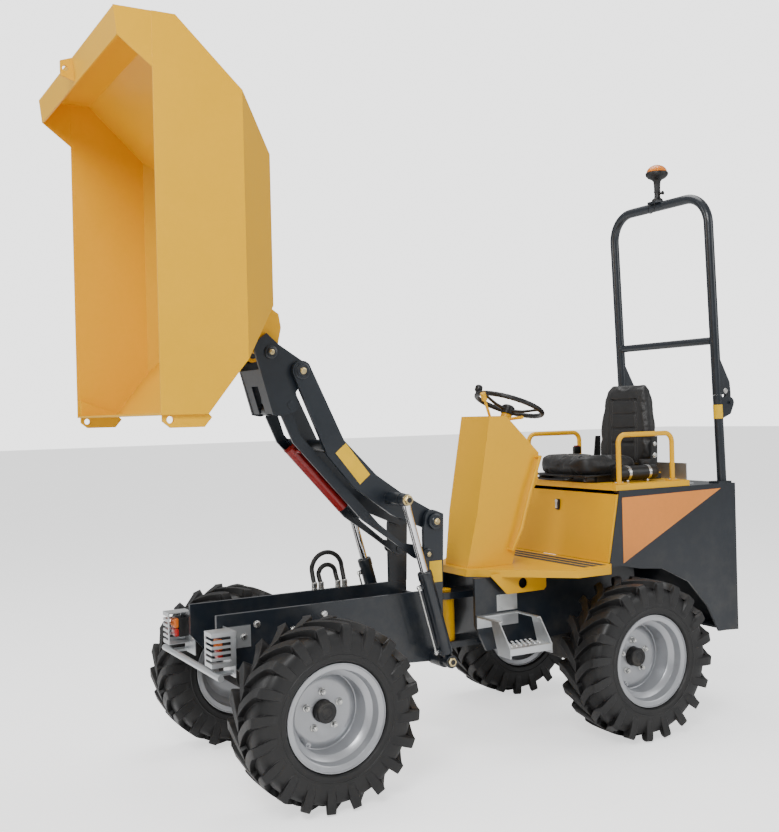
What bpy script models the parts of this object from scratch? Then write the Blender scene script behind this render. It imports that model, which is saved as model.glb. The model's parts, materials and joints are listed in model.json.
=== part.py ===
"""Articulated site dumper with a raised high-tip skip.

The machine faces -Y with its left side at +X and stands on Z = 0.  Lengths along
the machine are measured back from the front axle; the root empty then centres the
whole machine on the world origin.  Every joint has an empty on its axis.
"""

import math

import bmesh
import bpy
from mathutils import Matrix, Vector

# ---- Driving dimensions, metres ----------------------------------------------

GAP = 0.0003            # between faces that rest on each other
RUN_GAP = 0.0003        # between a pin and its bore, where they are closest
FACE_GAP = 0.0006       # between faces that slide on each other

# Wheels
TYRE_RADIUS = 0.380
TYRE_WIDTH = 0.264
RIM_RADIUS = 0.219      # over the flanges
RIM_WIDTH = 0.230
BEAD_RADIUS = 0.195
WELL_RADIUS = 0.166
RIM_SHEET = 0.008
DISC_INSET = 0.137      # outer flange back to the wheel disc
HUB_BORE = 0.045
TRACK = 1.036           # between tyre centres
WHEELBASE = 1.672

# Centre pivot
PIVOT_Y = 0.900
PIVOT_Z = 0.575         # axis on which the front half rocks
KING_PIN_RADIUS = 0.045
YOKE_THICKNESS = 0.032
KNUCKLE_HEIGHT = 0.205
TRUNNION_RADIUS = 0.055

# Front frame and mast
RAIL_OUTER = 0.178      # half width over the rails and the mast plates
RAIL_SHEET = 0.020
RAIL_TOP = 0.755
RAIL_BOTTOM = 0.480
NOSE_Y = -0.330
FRONT_FRAME_REAR = 0.790
MAST_DEPTH = 0.110      # fore and aft
MAST_REAR = 0.805

# Lifting gear: pins as (Y, Z)
BOOM_PIVOT = (0.756, 1.076)
BOOM_TIP = (0.107, 1.783)
LINK_DROP = (-0.045, -0.150)    # from a boom pin to the link pin below it
SKIP_PIVOT = (-0.030, 1.867)
LIFT_FOOT = (0.741, 0.444)
LIFT_EYE = (0.532, 1.196)
LIFT_X = 0.290
TIP_FOOT = (0.000, 1.612)
TIP_CRANK = 0.112       # skip pivot to the tip ram's rod pin
TIP_CRANK_ANGLE = math.radians(77.0)
BOOM_OUTER = 0.150
BOOM_SHEET = 0.020
HEAD_OUTER = 0.123
HEAD_SHEET = 0.016
LINK_OUTER = 0.094
LINK_SHEET = 0.012
SKIP_LUG_OUTER = 0.100
SKIP_LUG_SHEET = 0.016
PIN_RADIUS = 0.018
EYE_RADIUS = 0.034
LIFT_BARREL_RADIUS = 0.032
LIFT_BARREL_LENGTH = 0.435
LIFT_ROD_RADIUS = 0.018
LIFT_STROKE = 0.272
RAM_EYE_HALF = 0.022
TIP_BARREL_RADIUS = 0.027
TIP_BARREL_LENGTH = 0.205
TIP_ROD_RADIUS = 0.014
TIP_STROKE = 0.122
TIP_PIN_RADIUS = 0.014

# Skip, in its tipped pose
SKIP_HALF_WIDTH = 0.640
SKIP_FLOOR_HALF = 0.430
SKIP_SHEET = 0.008
SKIP_RIM_Y = -0.690
SKIP_TOP = 3.074
SKIP_LIP_Z = 1.600
GUARD_REACH = 0.140
GUARD_LIP = 0.105
HOIST_EYE = 0.045       # how far the eye stands out from the guard

# Rear half
REAR_END = WHEELBASE + 0.808
TOW_JAW = 0.060
BODY_HALF = 0.400
BODY_FRONT = WHEELBASE - 0.022
BODY_TOP = 1.175
BODY_BOTTOM = 0.400
BODY_SHEET = 0.012
ARCH_GAP = 0.045
NECK_OUTER = 0.212
NECK_FRONT = 0.950
NECK_TOP = 0.790
NECK_BOTTOM = 0.440
FOOTPLATE_TOP = 0.825
FOOTPLATE_HALF = 0.505
SEAT_BASE_HALF = 0.397
SEAT_FRONT = (BODY_FRONT - 0.036, BODY_FRONT + 0.030)    # panel's foot and head, along Y
SEAT_FOOT_Z = FOOTPLATE_TOP + GAP
SEAT_HEAD_Z = BODY_TOP - 0.018
SEAT_SHEET = 0.012
COVER_THICKNESS = 0.030
COVER_REAR = REAR_END - 0.290
RAIL_TUBE = 0.0125
GRAB_HEIGHT = 0.245

# Roll-over hoop
HOOP_HALF = 0.366
HOOP_TUBE = 0.025
HOOP_BASE_Y = REAR_END - 0.040
HOOP_TOP_Y = REAR_END - 0.100
HOOP_TOP = 2.727
HOOP_BEND = 0.150
HOOP_SPLIT_Z = 1.640
HOOP_HINGE = (REAR_END + 0.010, 1.600)
CROSSBAR_Z = 1.930
HINGE_PIN_RADIUS = 0.009

# Steering
WHEEL_CENTRE = (1.331, 1.615)
WHEEL_RADIUS = 0.185
WHEEL_TUBE = 0.013
COLUMN_TILT = math.radians(21.0)

ROUND = 16              # sides of a large round piece
SMALL_ROUND = 12        # sides of a pin
WHEEL_SIDES = 28

FRONT_END = SKIP_RIM_Y - GUARD_REACH - HOIST_EYE
ROOT_Y = -(FRONT_END + REAR_END + TOW_JAW) / 2


# ---- Shape helpers -------------------------------------------------------------


def collection(name, hidden=False):
    group = bpy.data.collections.new(name)
    bpy.context.scene.collection.children.link(group)
    group.hide_render = hidden
    return group


for old in list(bpy.data.objects):
    bpy.data.objects.remove(old, do_unlink=True)

MACHINE = collection("site_dumper")
TOOLS = collection("dumper_tools", hidden=True)


def material(name, colour, roughness, metallic=0.0):
    made = bpy.data.materials.new(name)
    made.use_nodes = True
    shader = made.node_tree.nodes["Principled BSDF"]
    shader.inputs["Base Color"].default_value = (*colour, 1.0)
    shader.inputs["Roughness"].default_value = roughness
    shader.inputs["Metallic"].default_value = metallic
    return made


YELLOW = material("yellow_paint", (0.90, 0.45, 0.01), 0.35)
SLATE = material("slate_paint", (0.012, 0.020, 0.030), 0.38)
CAST = material("cast_iron", (0.05, 0.05, 0.055), 0.65)
GALVANISED = material("galvanised", (0.55, 0.57, 0.58), 0.45, 0.8)
SILVER = material("silver_paint", (0.55, 0.56, 0.57), 0.40, 0.4)
CHROME = material("chrome", (0.80, 0.80, 0.80), 0.12, 1.0)
RUBBER = material("tyre_rubber", (0.015, 0.015, 0.016), 0.85)
VINYL = material("seat_vinyl", (0.02, 0.02, 0.02), 0.60)
PLASTIC = material("black_plastic", (0.02, 0.02, 0.02), 0.45)
RED = material("red_paint", (0.35, 0.01, 0.01), 0.40)
AMBER = material("amber_lens", (0.90, 0.30, 0.01), 0.15)
LAMP_RED = material("lamp_lens", (0.60, 0.06, 0.01), 0.20)


def mesh_object(name, mesh):
    made = bpy.data.objects.new(name, mesh)
    MACHINE.objects.link(made)
    return made


def box(name, x, y, z):
    """A block given as its low and high sides along each axis."""
    low = Vector((x[0], y[0], z[0]))
    high = Vector((x[1], y[1], z[1]))
    shape = bmesh.new()
    bmesh.ops.create_cube(shape, size=1.0)
    bmesh.ops.scale(shape, vec=high - low, verts=shape.verts)
    bmesh.ops.translate(shape, vec=(low + high) / 2, verts=shape.verts)
    mesh = bpy.data.meshes.new(name)
    shape.to_mesh(mesh)
    shape.free()
    return mesh_object(name, mesh)


def rod(name, start, end, radius, sides=SMALL_ROUND):
    """A cylinder between two points."""
    start, end = Vector(start), Vector(end)
    along = end - start
    shape = bmesh.new()
    bmesh.ops.create_cone(
        shape, cap_ends=True, segments=sides, radius1=radius,
        radius2=radius, depth=along.length,
    )
    turn = Vector((0, 0, 1)).rotation_difference(along).to_matrix().to_4x4()
    place = Matrix.Translation((start + end) / 2) @ turn
    bmesh.ops.transform(shape, matrix=place, verts=shape.verts)
    mesh = bpy.data.meshes.new(name)
    shape.to_mesh(mesh)
    shape.free()
    mesh.shade_smooth()
    mesh.set_sharp_from_angle(angle=math.radians(40))
    return mesh_object(name, mesh)


def to_mesh(curve):
    """Turns a curve object into a mesh object with its caps welded on."""
    depsgraph = bpy.context.evaluated_depsgraph_get()
    mesh = bpy.data.meshes.new_from_object(curve.evaluated_get(depsgraph))
    name, place = curve.name, curve.matrix_world.copy()
    bpy.data.objects.remove(curve, do_unlink=True)
    shape = bmesh.new()
    shape.from_mesh(mesh)
    bmesh.ops.remove_doubles(shape, verts=shape.verts, dist=1e-5)
    bmesh.ops.transform(shape, matrix=place, verts=shape.verts)
    bmesh.ops.recalc_face_normals(shape, faces=shape.faces)
    shape.to_mesh(mesh)
    shape.free()
    return mesh_object(name, mesh)


PLANES = {
    "YZ": Matrix(((0, 0, 1, 0), (1, 0, 0, 0), (0, 1, 0, 0), (0, 0, 0, 1))),
    "XY": Matrix.Identity(4),
    "XZ": Matrix(((1, 0, 0, 0), (0, 0, -1, 0), (0, 1, 0, 0), (0, 0, 0, 1))),
}


def plate(name, outline, low, high, plane="YZ"):
    """A flat outline made as thick as from low to high across its plane.

    YZ outlines are thickened along X, XY ones along Z, and XZ ones along -Y.
    """
    curve = bpy.data.curves.new(name, "CURVE")
    curve.dimensions = "2D"
    curve.fill_mode = "BOTH"
    curve.extrude = (high - low) / 2
    line = curve.splines.new("POLY")
    line.points.add(len(outline) - 1)
    for point, (u, v) in zip(line.points, outline):
        point.co = (u, v, 0, 1)
    line.use_cyclic_u = True
    made = bpy.data.objects.new(name, curve)
    MACHINE.objects.link(made)
    made.matrix_world = PLANES[plane] @ Matrix.Translation((0, 0, (low + high) / 2))
    bpy.context.view_layer.update()
    return to_mesh(made)


def tube(name, points, radius, resolution=2):
    """A bent round bar through the points."""
    curve = bpy.data.curves.new(name, "CURVE")
    curve.dimensions = "3D"
    curve.bevel_depth = radius
    curve.bevel_resolution = resolution
    curve.use_fill_caps = True
    line = curve.splines.new("POLY")
    line.points.add(len(points) - 1)
    for point, place in zip(line.points, points):
        point.co = (*place, 1)
    made = bpy.data.objects.new(name, curve)
    MACHINE.objects.link(made)
    bpy.context.view_layer.update()
    return to_mesh(made)


def turned(name, profile, centre, axis, closed=False, sides=WHEEL_SIDES):
    """A profile of (radius, height) points turned about an axis through centre."""
    mesh = bpy.data.meshes.new(name)
    count = len(profile)
    edges = [(i, (i + 1) % count) for i in range(count if closed else count - 1)]
    mesh.from_pydata([(r, 0, h) for r, h in profile], edges, [])
    made = mesh_object(name, mesh)
    screw = made.modifiers.new("turn", "SCREW")
    screw.steps = screw.render_steps = sides
    screw.use_merge_vertices = True
    screw.merge_threshold = 0.00005
    made.location = centre
    made.rotation_mode = "QUATERNION"
    made.rotation_quaternion = Vector((0, 0, 1)).rotation_difference(Vector(axis))
    return made


def flatten(made):
    """Applies a piece's modifiers and keeps its place."""
    bpy.context.view_layer.update()
    depsgraph = bpy.context.evaluated_depsgraph_get()
    mesh = bpy.data.meshes.new_from_object(made.evaluated_get(depsgraph))
    made.modifiers.clear()
    made.data = mesh
    return made


def boolean(base, tools, operation):
    for tool in tools:
        MACHINE.objects.unlink(tool)
        TOOLS.objects.link(tool)
        tool.hide_render = True
        tool.display_type = "WIRE"
        step = base.modifiers.new(tool.name, "BOOLEAN")
        step.operation = operation
        step.solver = "EXACT"
        step.object = tool
    return base


def join(base, *others):
    return boolean(base, others, "UNION")


def cut(base, *tools):
    return boolean(base, tools, "DIFFERENCE")


def bore_for(pin_radius, sides=SMALL_ROUND):
    """Corner radius of a faceted bore whose flats clear the pin at every turn."""
    return pin_radius / math.cos(math.pi / sides) + RUN_GAP


def arc(centre, radius, start, end, count=7):
    """Points on an arc, angles in degrees."""
    steps = [math.radians(start + (end - start) * i / (count - 1)) for i in range(count)]
    return [(centre[0] + radius * math.cos(a), centre[1] + radius * math.sin(a)) for a in steps]


def both_sides(make):
    return [make("left", 1), make("right", -1)]


def sides_of(side, inner, outer):
    """The X range from inner to outer on the left (1) or right (-1)."""
    return tuple(sorted((side * inner, side * outer)))


# ---- Joint frames --------------------------------------------------------------


def frame(name, place, parent=None):
    empty = bpy.data.objects.new(name, None)
    empty.empty_display_size = 0.05
    MACHINE.objects.link(empty)
    if parent is not None:
        empty.parent = parent
        empty.location = Vector(place) - Vector(parent["place"])
    else:
        empty.location = place
    empty["place"] = place
    return empty


def finish(made, paint, parent):
    """Gives a piece its paint and hangs it on the frame it moves with."""
    made.data.materials.clear()
    made.data.materials.append(paint)
    pieces = [made] + [step.object for step in made.modifiers if step.type == "BOOLEAN"]
    for piece in pieces:
        carry(piece, parent)
    return made


def carry(piece, parent):
    piece.parent = parent
    piece.matrix_parent_inverse = Matrix.Translation(-Vector(parent["place"]))
    for step in piece.modifiers:
        if step.type == "BOOLEAN" and step.object.parent is None:
            carry(step.object, parent)


ROOT = frame("dumper_root", (0, 0, 0))
ROOT.location = (0, ROOT_Y, 0)
STEER = frame("steer_pivot", (0, PIVOT_Y, PIVOT_Z), ROOT)
ROCK = frame("rock_pivot", (0, PIVOT_Y, PIVOT_Z), STEER)
LIFT = frame("lift_pivot", (0, *BOOM_PIVOT), ROCK)
LINK_REAR = (BOOM_PIVOT[0] + LINK_DROP[0], BOOM_PIVOT[1] + LINK_DROP[1])
LINK_FRONT = (BOOM_TIP[0] + LINK_DROP[0], BOOM_TIP[1] + LINK_DROP[1])
LINK = frame("link_pivot", (0, *LINK_REAR), ROCK)
HEAD = frame("head_pivot", (0, *BOOM_TIP), LIFT)
TIP = frame("tip_pivot", (0, *SKIP_PIVOT), HEAD)
TIP_RAM = frame("tip_ram_pivot", (0, *TIP_FOOT), HEAD)
COVER_HINGE = (COVER_REAR, BODY_TOP + 0.012)
COVER = frame("cover_pivot", (0, *COVER_HINGE), ROOT)
FOLD = frame("hoop_pivot", (0, *HOOP_HINGE), ROOT)


# ---- Wheels --------------------------------------------------------------------


def tyre_profile():
    """Closed section of the tyre: round shoulders down to the rim's bead seats."""
    half = TYRE_WIDTH / 2
    seat = BEAD_RADIUS + FACE_GAP
    right = [
        (TYRE_RADIUS, 0.0),
        (TYRE_RADIUS, half * 0.62),
        (TYRE_RADIUS - 0.012, half * 0.86),
        (TYRE_RADIUS - 0.050, half * 0.97),
        (TYRE_RADIUS - 0.110, half),
        (RIM_RADIUS + 0.004, RIM_WIDTH / 2 - 0.018),
        (seat, RIM_WIDTH / 2 - 0.020),
        (seat, RIM_WIDTH / 2 - 0.052),
    ]
    crown = (TYRE_RADIUS - 0.045, 0.0)
    upper = [(r, h) for r, h in right[::-1]]
    lower = [(r, -h) for r, h in right[1:]]
    return upper + lower + [crown]


def rim_profile():
    """Closed section of the well-base rim and its inset disc."""
    half = RIM_WIDTH / 2
    seat = BEAD_RADIUS - GAP
    disc = half - DISC_INSET
    sheet = RIM_SHEET
    outer = [
        (RIM_RADIUS, half),
        (RIM_RADIUS, half - 0.014),
        (seat, half - 0.016),
        (seat, half - 0.056),
        (WELL_RADIUS, half - 0.070),
        (WELL_RADIUS, -half + 0.070),
        (seat, -half + 0.056),
        (seat, -half + 0.015),
        (RIM_RADIUS, -half + 0.015),
        (RIM_RADIUS, -half),
    ]
    inner = [
        (seat - sheet, -half),
        (WELL_RADIUS - sheet, -half + 0.066),
        (WELL_RADIUS - sheet, disc - 0.010),
        (HUB_BORE, disc - 0.010),
        (HUB_BORE, disc),
        (WELL_RADIUS - sheet, disc + 0.006),
        (WELL_RADIUS - sheet, half - 0.074),
        (seat - sheet, half - 0.060),
        (seat - sheet, half),
    ]
    return outer + inner


def wheel(end, y, side_name, side, parent):
    centre = (side * TRACK / 2, y, TYRE_RADIUS)
    axis = (side, 0, 0)
    place = f"{end}_{side_name}"
    spin = frame(f"{place}_spin", centre, parent)
    finish(turned(f"{place}_tyre", tyre_profile(), centre, axis, closed=True), RUBBER, spin)
    finish(turned(f"{place}_rim", rim_profile(), centre, axis, closed=True), SILVER, spin)


def axle(name, y, parent):
    """Drive axle: beam, centre casing and a hub that passes through each disc."""
    z = TYRE_RADIUS
    disc = TRACK / 2 + RIM_WIDTH / 2 - DISC_INSET
    hub = HUB_BORE * math.cos(math.pi / WHEEL_SIDES) - RUN_GAP
    beam = rod(name, (-disc + 0.030, y, z), (disc - 0.030, y, z), 0.048, ROUND)
    parts = [
        rod(f"{name}.case", (-0.105, y, z), (0.105, y, z), 0.105, ROUND),
        box(f"{name}.nose", (-0.050, 0.050), (y, y + 0.150), (z - 0.045, z + 0.045)),
    ]
    for side in (-1, 1):
        inside, outside = side * (disc - 0.040), side * (disc - 0.0105 - RUN_GAP)
        parts.append(rod(f"{name}.drum{side}", (side * 0.250, y, z), (outside, y, z), 0.085, ROUND))
        parts.append(
            rod(f"{name}.hub{side}", (inside, y, z), (side * (disc + 0.036), y, z), hub, WHEEL_SIDES)
        )
    return finish(join(beam, *parts), CAST, parent)


for end_name, axle_y, carrier in (("front", 0.0, ROCK), ("rear", WHEELBASE, ROOT)):
    for side_name, side in (("left", 1), ("right", -1)):
        wheel(end_name, axle_y, side_name, side, carrier)
    axle(f"{end_name}_axle", axle_y, carrier)


# ---- Front frame, mast and lamps -----------------------------------------------

RAIL_INNER = RAIL_OUTER - RAIL_SHEET


def front_frame():
    """Two side rails with a nose plate, a saddle on the axle and a rear cross plate."""
    rail = [
        (NOSE_Y, RAIL_TOP),
        (NOSE_Y, RAIL_TOP - 0.135),
        (NOSE_Y + 0.120, RAIL_BOTTOM),
        (FRONT_FRAME_REAR, RAIL_BOTTOM - 0.060),
        (FRONT_FRAME_REAR, RAIL_TOP),
    ]
    base = plate("front_frame", rail, RAIL_INNER, RAIL_OUTER)
    other = plate("front_frame.rail", rail, -RAIL_OUTER, -RAIL_INNER)
    low = RAIL_BOTTOM - 0.060
    across = (-RAIL_INNER - 0.005, RAIL_INNER + 0.005)
    rear = box("front_frame.rear", across, (FRONT_FRAME_REAR - 0.025, FRONT_FRAME_REAR - 0.002),
               (low + 0.004, RAIL_TOP - 0.050))
    saddle = box("front_frame.saddle", across, (-0.075, 0.075),
                 (TYRE_RADIUS + 0.105 + GAP, RAIL_BOTTOM + 0.045))
    nose = box("front_frame.nose", across, (NOSE_Y + 0.095, NOSE_Y + 0.111),
               (RAIL_BOTTOM + 0.035, RAIL_BOTTOM + 0.120))
    boss = rod("front_frame.boss", (0, FRONT_FRAME_REAR - 0.090, PIVOT_Z),
               (0, FRONT_FRAME_REAR + 0.006, PIVOT_Z), TRUNNION_RADIUS + 0.022, ROUND)
    bore = rod("front_frame.bore", (0, FRONT_FRAME_REAR - 0.120, PIVOT_Z),
               (0, FRONT_FRAME_REAR + 0.030, PIVOT_Z), TRUNNION_RADIUS, ROUND)
    feet = []
    for side in (-1, 1):
        for piece, inner, outer, radius in (
            ("foot", RAIL_INNER + 0.004, LIFT_X - RAM_EYE_HALF - FACE_GAP, 0.036),
            ("pin", RAIL_INNER + 0.010, LIFT_X + 0.036, PIN_RADIUS),
            ("head", LIFT_X + RAM_EYE_HALF + FACE_GAP, LIFT_X + 0.034, 0.030),
        ):
            feet.append(rod(f"front_frame.{piece}{side}", (side * inner, *LIFT_FOOT),
                            (side * outer, *LIFT_FOOT), radius))
    cut(join(base, other, rear, saddle, nose, boss, *feet), bore)
    return finish(base, SLATE, ROCK)


def mast(side_name, side):
    """One mast plate with the boom pin's and the link pin's bosses."""
    front, rear = MAST_REAR - MAST_DEPTH, MAST_REAR
    y, z = BOOM_PIVOT
    top = z + 0.032
    outline = [
        (front, RAIL_TOP + GAP),
        (rear - 0.012, RAIL_TOP + GAP),
        (rear, top - 0.010),
        (rear, top),
        *arc((y - 0.010, top - 0.020), 0.042, 60, 180, 6),
        (front, z - 0.040),
    ]
    low, high = sides_of(side, RAIL_INNER, RAIL_OUTER)
    base = plate(f"mast_{side_name}", outline, low, high)
    face = side * (RAIL_OUTER - 0.002)
    pin = rod(f"mast_{side_name}.pin", (side * (BOOM_OUTER - BOOM_SHEET - 0.004), y, z),
              (side * (RAIL_OUTER + 0.010), y, z), PIN_RADIUS, SMALL_ROUND)
    head = rod(f"mast_{side_name}.head", (face, y, z), (side * (RAIL_OUTER + 0.008), y, z), 0.030)
    link_pin = rod(f"mast_{side_name}.link_pin", (side * (LINK_OUTER - LINK_SHEET - 0.004), *LINK_REAR),
                   (side * (RAIL_OUTER + 0.006), *LINK_REAR), PIN_RADIUS, SMALL_ROUND)
    return finish(join(base, pin, head, link_pin), SLATE, ROCK)


LAMP_Y = -0.405
LAMP_X = (0.233, 0.318)
LAMP_Z = (0.570, 0.712)
LAMP_DEPTH = 0.105
LAMP_SHEET = 0.004


def lamp_guard(side_name, side):
    """Folded guard, open to the back, on a bracket plate that reaches the rail."""
    x = sides_of(side, *LAMP_X)
    y = (LAMP_Y, LAMP_Y + LAMP_DEPTH)
    base = box(f"lamp_guard_{side_name}", x, y, LAMP_Z)
    hollow = box(f"lamp_guard_{side_name}.hollow",
                 sides_of(side, LAMP_X[0] - 0.020, LAMP_X[1] - LAMP_SHEET),
                 (y[0] + LAMP_SHEET, y[1] + 0.020), (LAMP_Z[0] + LAMP_SHEET, LAMP_Z[1] - LAMP_SHEET))
    tools = [hollow]
    pitch = (LAMP_Z[1] - LAMP_Z[0]) / 6
    for slot in range(5):
        z = LAMP_Z[0] + pitch * (slot + 1)
        tools.append(box(f"lamp_guard_{side_name}.slot{slot}",
                         sides_of(side, LAMP_X[0] + 0.012, LAMP_X[1] + 0.020),
                         (y[0] - 0.020, y[1] - 0.022), (z - 0.006, z + 0.006)))
    cut(base, *tools)
    flange = (RAIL_OUTER + GAP, LAMP_X[1] - 0.001)
    plate_y = (y[1] - LAMP_SHEET, y[1])
    bracket = box(f"lamp_guard_{side_name}.bracket", sides_of(side, *flange), plate_y,
                  (LAMP_Z[0] - 0.050, LAMP_Z[1] - 0.001))
    arm = box(f"lamp_guard_{side_name}.arm", sides_of(side, RAIL_OUTER + GAP, RAIL_OUTER + 0.006),
              (y[1] - 0.002, NOSE_Y + 0.150), (LAMP_Z[0] + 0.040, LAMP_Z[1] - 0.010))
    return finish(join(base, bracket, arm), GALVANISED, ROCK)


def lamp(side_name, side):
    x = (LAMP_X[0] + 0.014, LAMP_X[1] - LAMP_SHEET - 0.004)
    y = LAMP_Y + LAMP_DEPTH - LAMP_SHEET
    middle = (LAMP_Z[0] + LAMP_Z[1]) / 2
    base = box(f"lamp_{side_name}", sides_of(side, *x), (y - 0.070, y - GAP),
               (middle - 0.045, middle + 0.045))
    return finish(base, LAMP_RED, ROCK)


def lamp_bar():
    """Tube under the lamps, from bracket to bracket."""
    y = LAMP_Y + 0.020
    z = LAMP_Z[0] - 0.033
    reach = LAMP_X[1] + 0.045
    base = rod("lamp_bar", (-reach, y, z), (reach, y, z), 0.014, SMALL_ROUND)
    ears = []
    for side in (-1, 1):
        ears.append(box(f"lamp_bar.ear{side}", sides_of(side, LAMP_X[0] + 0.020, LAMP_X[1] - 0.020),
                        (y - 0.004, LAMP_Y + LAMP_DEPTH - LAMP_SHEET - GAP), (z - 0.006, z + 0.004)))
    return finish(join(base, *ears), GALVANISED, ROCK)


HOSE_X = RAIL_OUTER + 0.016
HOSE_RADIUS = 0.011


def hose_loop(name, front, rear, height):
    """Hose that rises from the right rail, arches clear of the boom and comes back down."""
    foot = RAIL_TOP + GAP
    x = -(RAIL_OUTER + RAIL_INNER) / 2
    middle, reach = (front + rear) / 2, (rear - front) / 2
    crown = foot + height - reach
    arch = [(-HOSE_X, y, z) for y, z in arc((middle, crown), reach, 180, 0, 9)]
    path = [(x, front, foot), (x, front, foot + 0.018), *arch, (x, rear, foot + 0.018), (x, rear, foot)]
    base = tube(name, path, HOSE_RADIUS)
    ends = [rod(f"{name}.end{y}", (x, y, foot), (x, y, foot + 0.022), HOSE_RADIUS + 0.003, 6)
            for y in (front, rear)]
    return finish(join(base, *ends), PLASTIC, ROCK)


front_frame()
hose_loop("hose_loop_outer", 0.290, 0.450, 0.170)
hose_loop("hose_loop_inner", 0.325, 0.415, 0.110)
both_sides(mast)
both_sides(lamp_guard)
both_sides(lamp)
lamp_bar()


# ---- Centre pivot --------------------------------------------------------------


def centre_pivot():
    """Knuckle: an upright king pin in the rear yoke and a trunnion in the front boss."""
    half = KNUCKLE_HEIGHT / 2
    base = rod("centre_pivot", (0, PIVOT_Y, PIVOT_Z - half), (0, PIVOT_Y, PIVOT_Z + half), 0.058, ROUND)
    reach = YOKE_THICKNESS + 0.010
    king = KING_PIN_RADIUS * math.cos(math.pi / ROUND) - RUN_GAP
    pin = rod("centre_pivot.king", (0, PIVOT_Y, PIVOT_Z - half - reach),
              (0, PIVOT_Y, PIVOT_Z + half + reach), king, ROUND)
    stub = TRUNNION_RADIUS * math.cos(math.pi / ROUND) - RUN_GAP
    trunnion = rod("centre_pivot.trunnion", (0, PIVOT_Y - 0.020, PIVOT_Z),
                   (0, FRONT_FRAME_REAR - 0.100, PIVOT_Z), stub, ROUND)
    nut = rod("centre_pivot.nut", (0, FRONT_FRAME_REAR - 0.0905, PIVOT_Z),
              (0, FRONT_FRAME_REAR - 0.118, PIVOT_Z), TRUNNION_RADIUS + 0.010, ROUND)
    return finish(join(base, pin, trunnion, nut), YELLOW, STEER)


centre_pivot()


# ---- Lifting gear --------------------------------------------------------------

ALONG = Vector((BOOM_TIP[0] - BOOM_PIVOT[0], BOOM_TIP[1] - BOOM_PIVOT[1]))
REACH = ALONG.length
ALONG.normalize()
BELOW = Vector((-ALONG.y, ALONG.x))      # square to the boom, towards the link


def on_boom(share, drop, start=BOOM_PIVOT):
    """A point a share of the way along the boom's pin line and dropped below it."""
    point = Vector(start) + ALONG * REACH * share + BELOW * drop
    return (point.x, point.y)


def turned_end(pin, radius, first, last, count=7):
    """Round end about a pin, from one angle off the boom's direction to another."""
    lean = math.degrees(math.atan2(ALONG.y, ALONG.x))
    return arc(pin, radius, lean + first, lean + last, count)


def boom():
    """Twin bent side plates, two cross tubes and a stub for each lift ram."""
    outline = (
        turned_end(BOOM_PIVOT, 0.046, 120, 270)
        + [on_boom(0.20, 0.018), on_boom(0.38, 0.058), on_boom(0.62, 0.066)]
        + turned_end(BOOM_TIP, 0.046, -90, 60)
        + [on_boom(0.80, 0.115), on_boom(0.63, 0.172), on_boom(0.42, 0.178), on_boom(0.18, 0.128)]
    )
    base = plate("boom", outline, BOOM_OUTER - BOOM_SHEET, BOOM_OUTER)
    other = plate("boom.far", outline, -BOOM_OUTER, -BOOM_OUTER + BOOM_SHEET)
    parts = [other]
    inside = BOOM_OUTER - BOOM_SHEET + 0.005
    for share, drop, radius in ((0.62, 0.105, 0.030), (0.22, 0.045, 0.020)):
        y, z = on_boom(share, drop)
        parts.append(rod(f"boom.tube{share}", (-inside, y, z), (inside, y, z), radius))
    for side in (-1, 1):
        outside = LIFT_X - RAM_EYE_HALF - FACE_GAP
        parts.append(rod(f"boom.stub{side}", (side * (BOOM_OUTER - 0.006), *LIFT_EYE),
                         (side * outside, *LIFT_EYE), 0.030))
    bores = []
    for side in (-1, 1):
        x = (side * (BOOM_OUTER - 0.060), side * (BOOM_OUTER + 0.040))
        for pin in (BOOM_PIVOT, BOOM_TIP):
            bores.append(rod(f"boom.bore{side}{pin[0]}", (x[0], *pin), (x[1], *pin), bore_for(PIN_RADIUS)))
    return finish(cut(join(base, *parts), *bores), SLATE, LIFT)


def lower_link():
    """Channel that runs below the boom, with lugs that rise to its two pins."""
    outline = (
        turned_end(LINK_REAR, EYE_RADIUS, 100, 290)
        + [on_boom(0.10, 0.030, LINK_REAR), on_boom(0.26, 0.052, LINK_REAR), on_boom(0.86, 0.052, LINK_REAR)]
        + turned_end(LINK_FRONT, EYE_RADIUS, -40, 90)
        + [on_boom(0.985, 0.060, LINK_REAR), on_boom(0.86, 0.100, LINK_REAR),
           on_boom(0.34, 0.100, LINK_REAR), on_boom(0.16, 0.062, LINK_REAR)]
    )
    base = plate("lower_link", outline, LINK_OUTER - LINK_SHEET, LINK_OUTER)
    other = plate("lower_link.far", outline, -LINK_OUTER, -LINK_OUTER + LINK_SHEET)
    top = [on_boom(share, drop, LINK_REAR)
           for share, drop in ((0.30, 0.056), (0.84, 0.056), (0.84, 0.066), (0.30, 0.066))]
    web = plate("lower_link.web", top, -LINK_OUTER + 0.004, LINK_OUTER - 0.004)
    bores = []
    for side in (-1, 1):
        x = (side * (LINK_OUTER - 0.050), side * (LINK_OUTER + 0.040))
        for pin in (LINK_REAR, LINK_FRONT):
            bores.append(rod(f"lower_link.bore{side}{pin[0]:.2f}", (x[0], *pin), (x[1], *pin),
                             bore_for(PIN_RADIUS)))
    return finish(cut(join(base, other, web), *bores), SLATE, LINK)


def safety_strut():
    """Red prop stowed in the link's channel, held by a cross pin."""
    start, end = on_boom(0.42, 0.0985, LINK_REAR), on_boom(0.82, 0.0985, LINK_REAR)
    base = rod("safety_strut", (0, *start), (0, *end), 0.030)
    pin_at = on_boom(0.80, 0.0985, LINK_REAR)
    reach = LINK_OUTER - LINK_SHEET - GAP
    pin = rod("safety_strut.pin", (-reach, *pin_at), (reach, *pin_at), 0.008)
    return finish(join(base, pin), RED, LINK)


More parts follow.
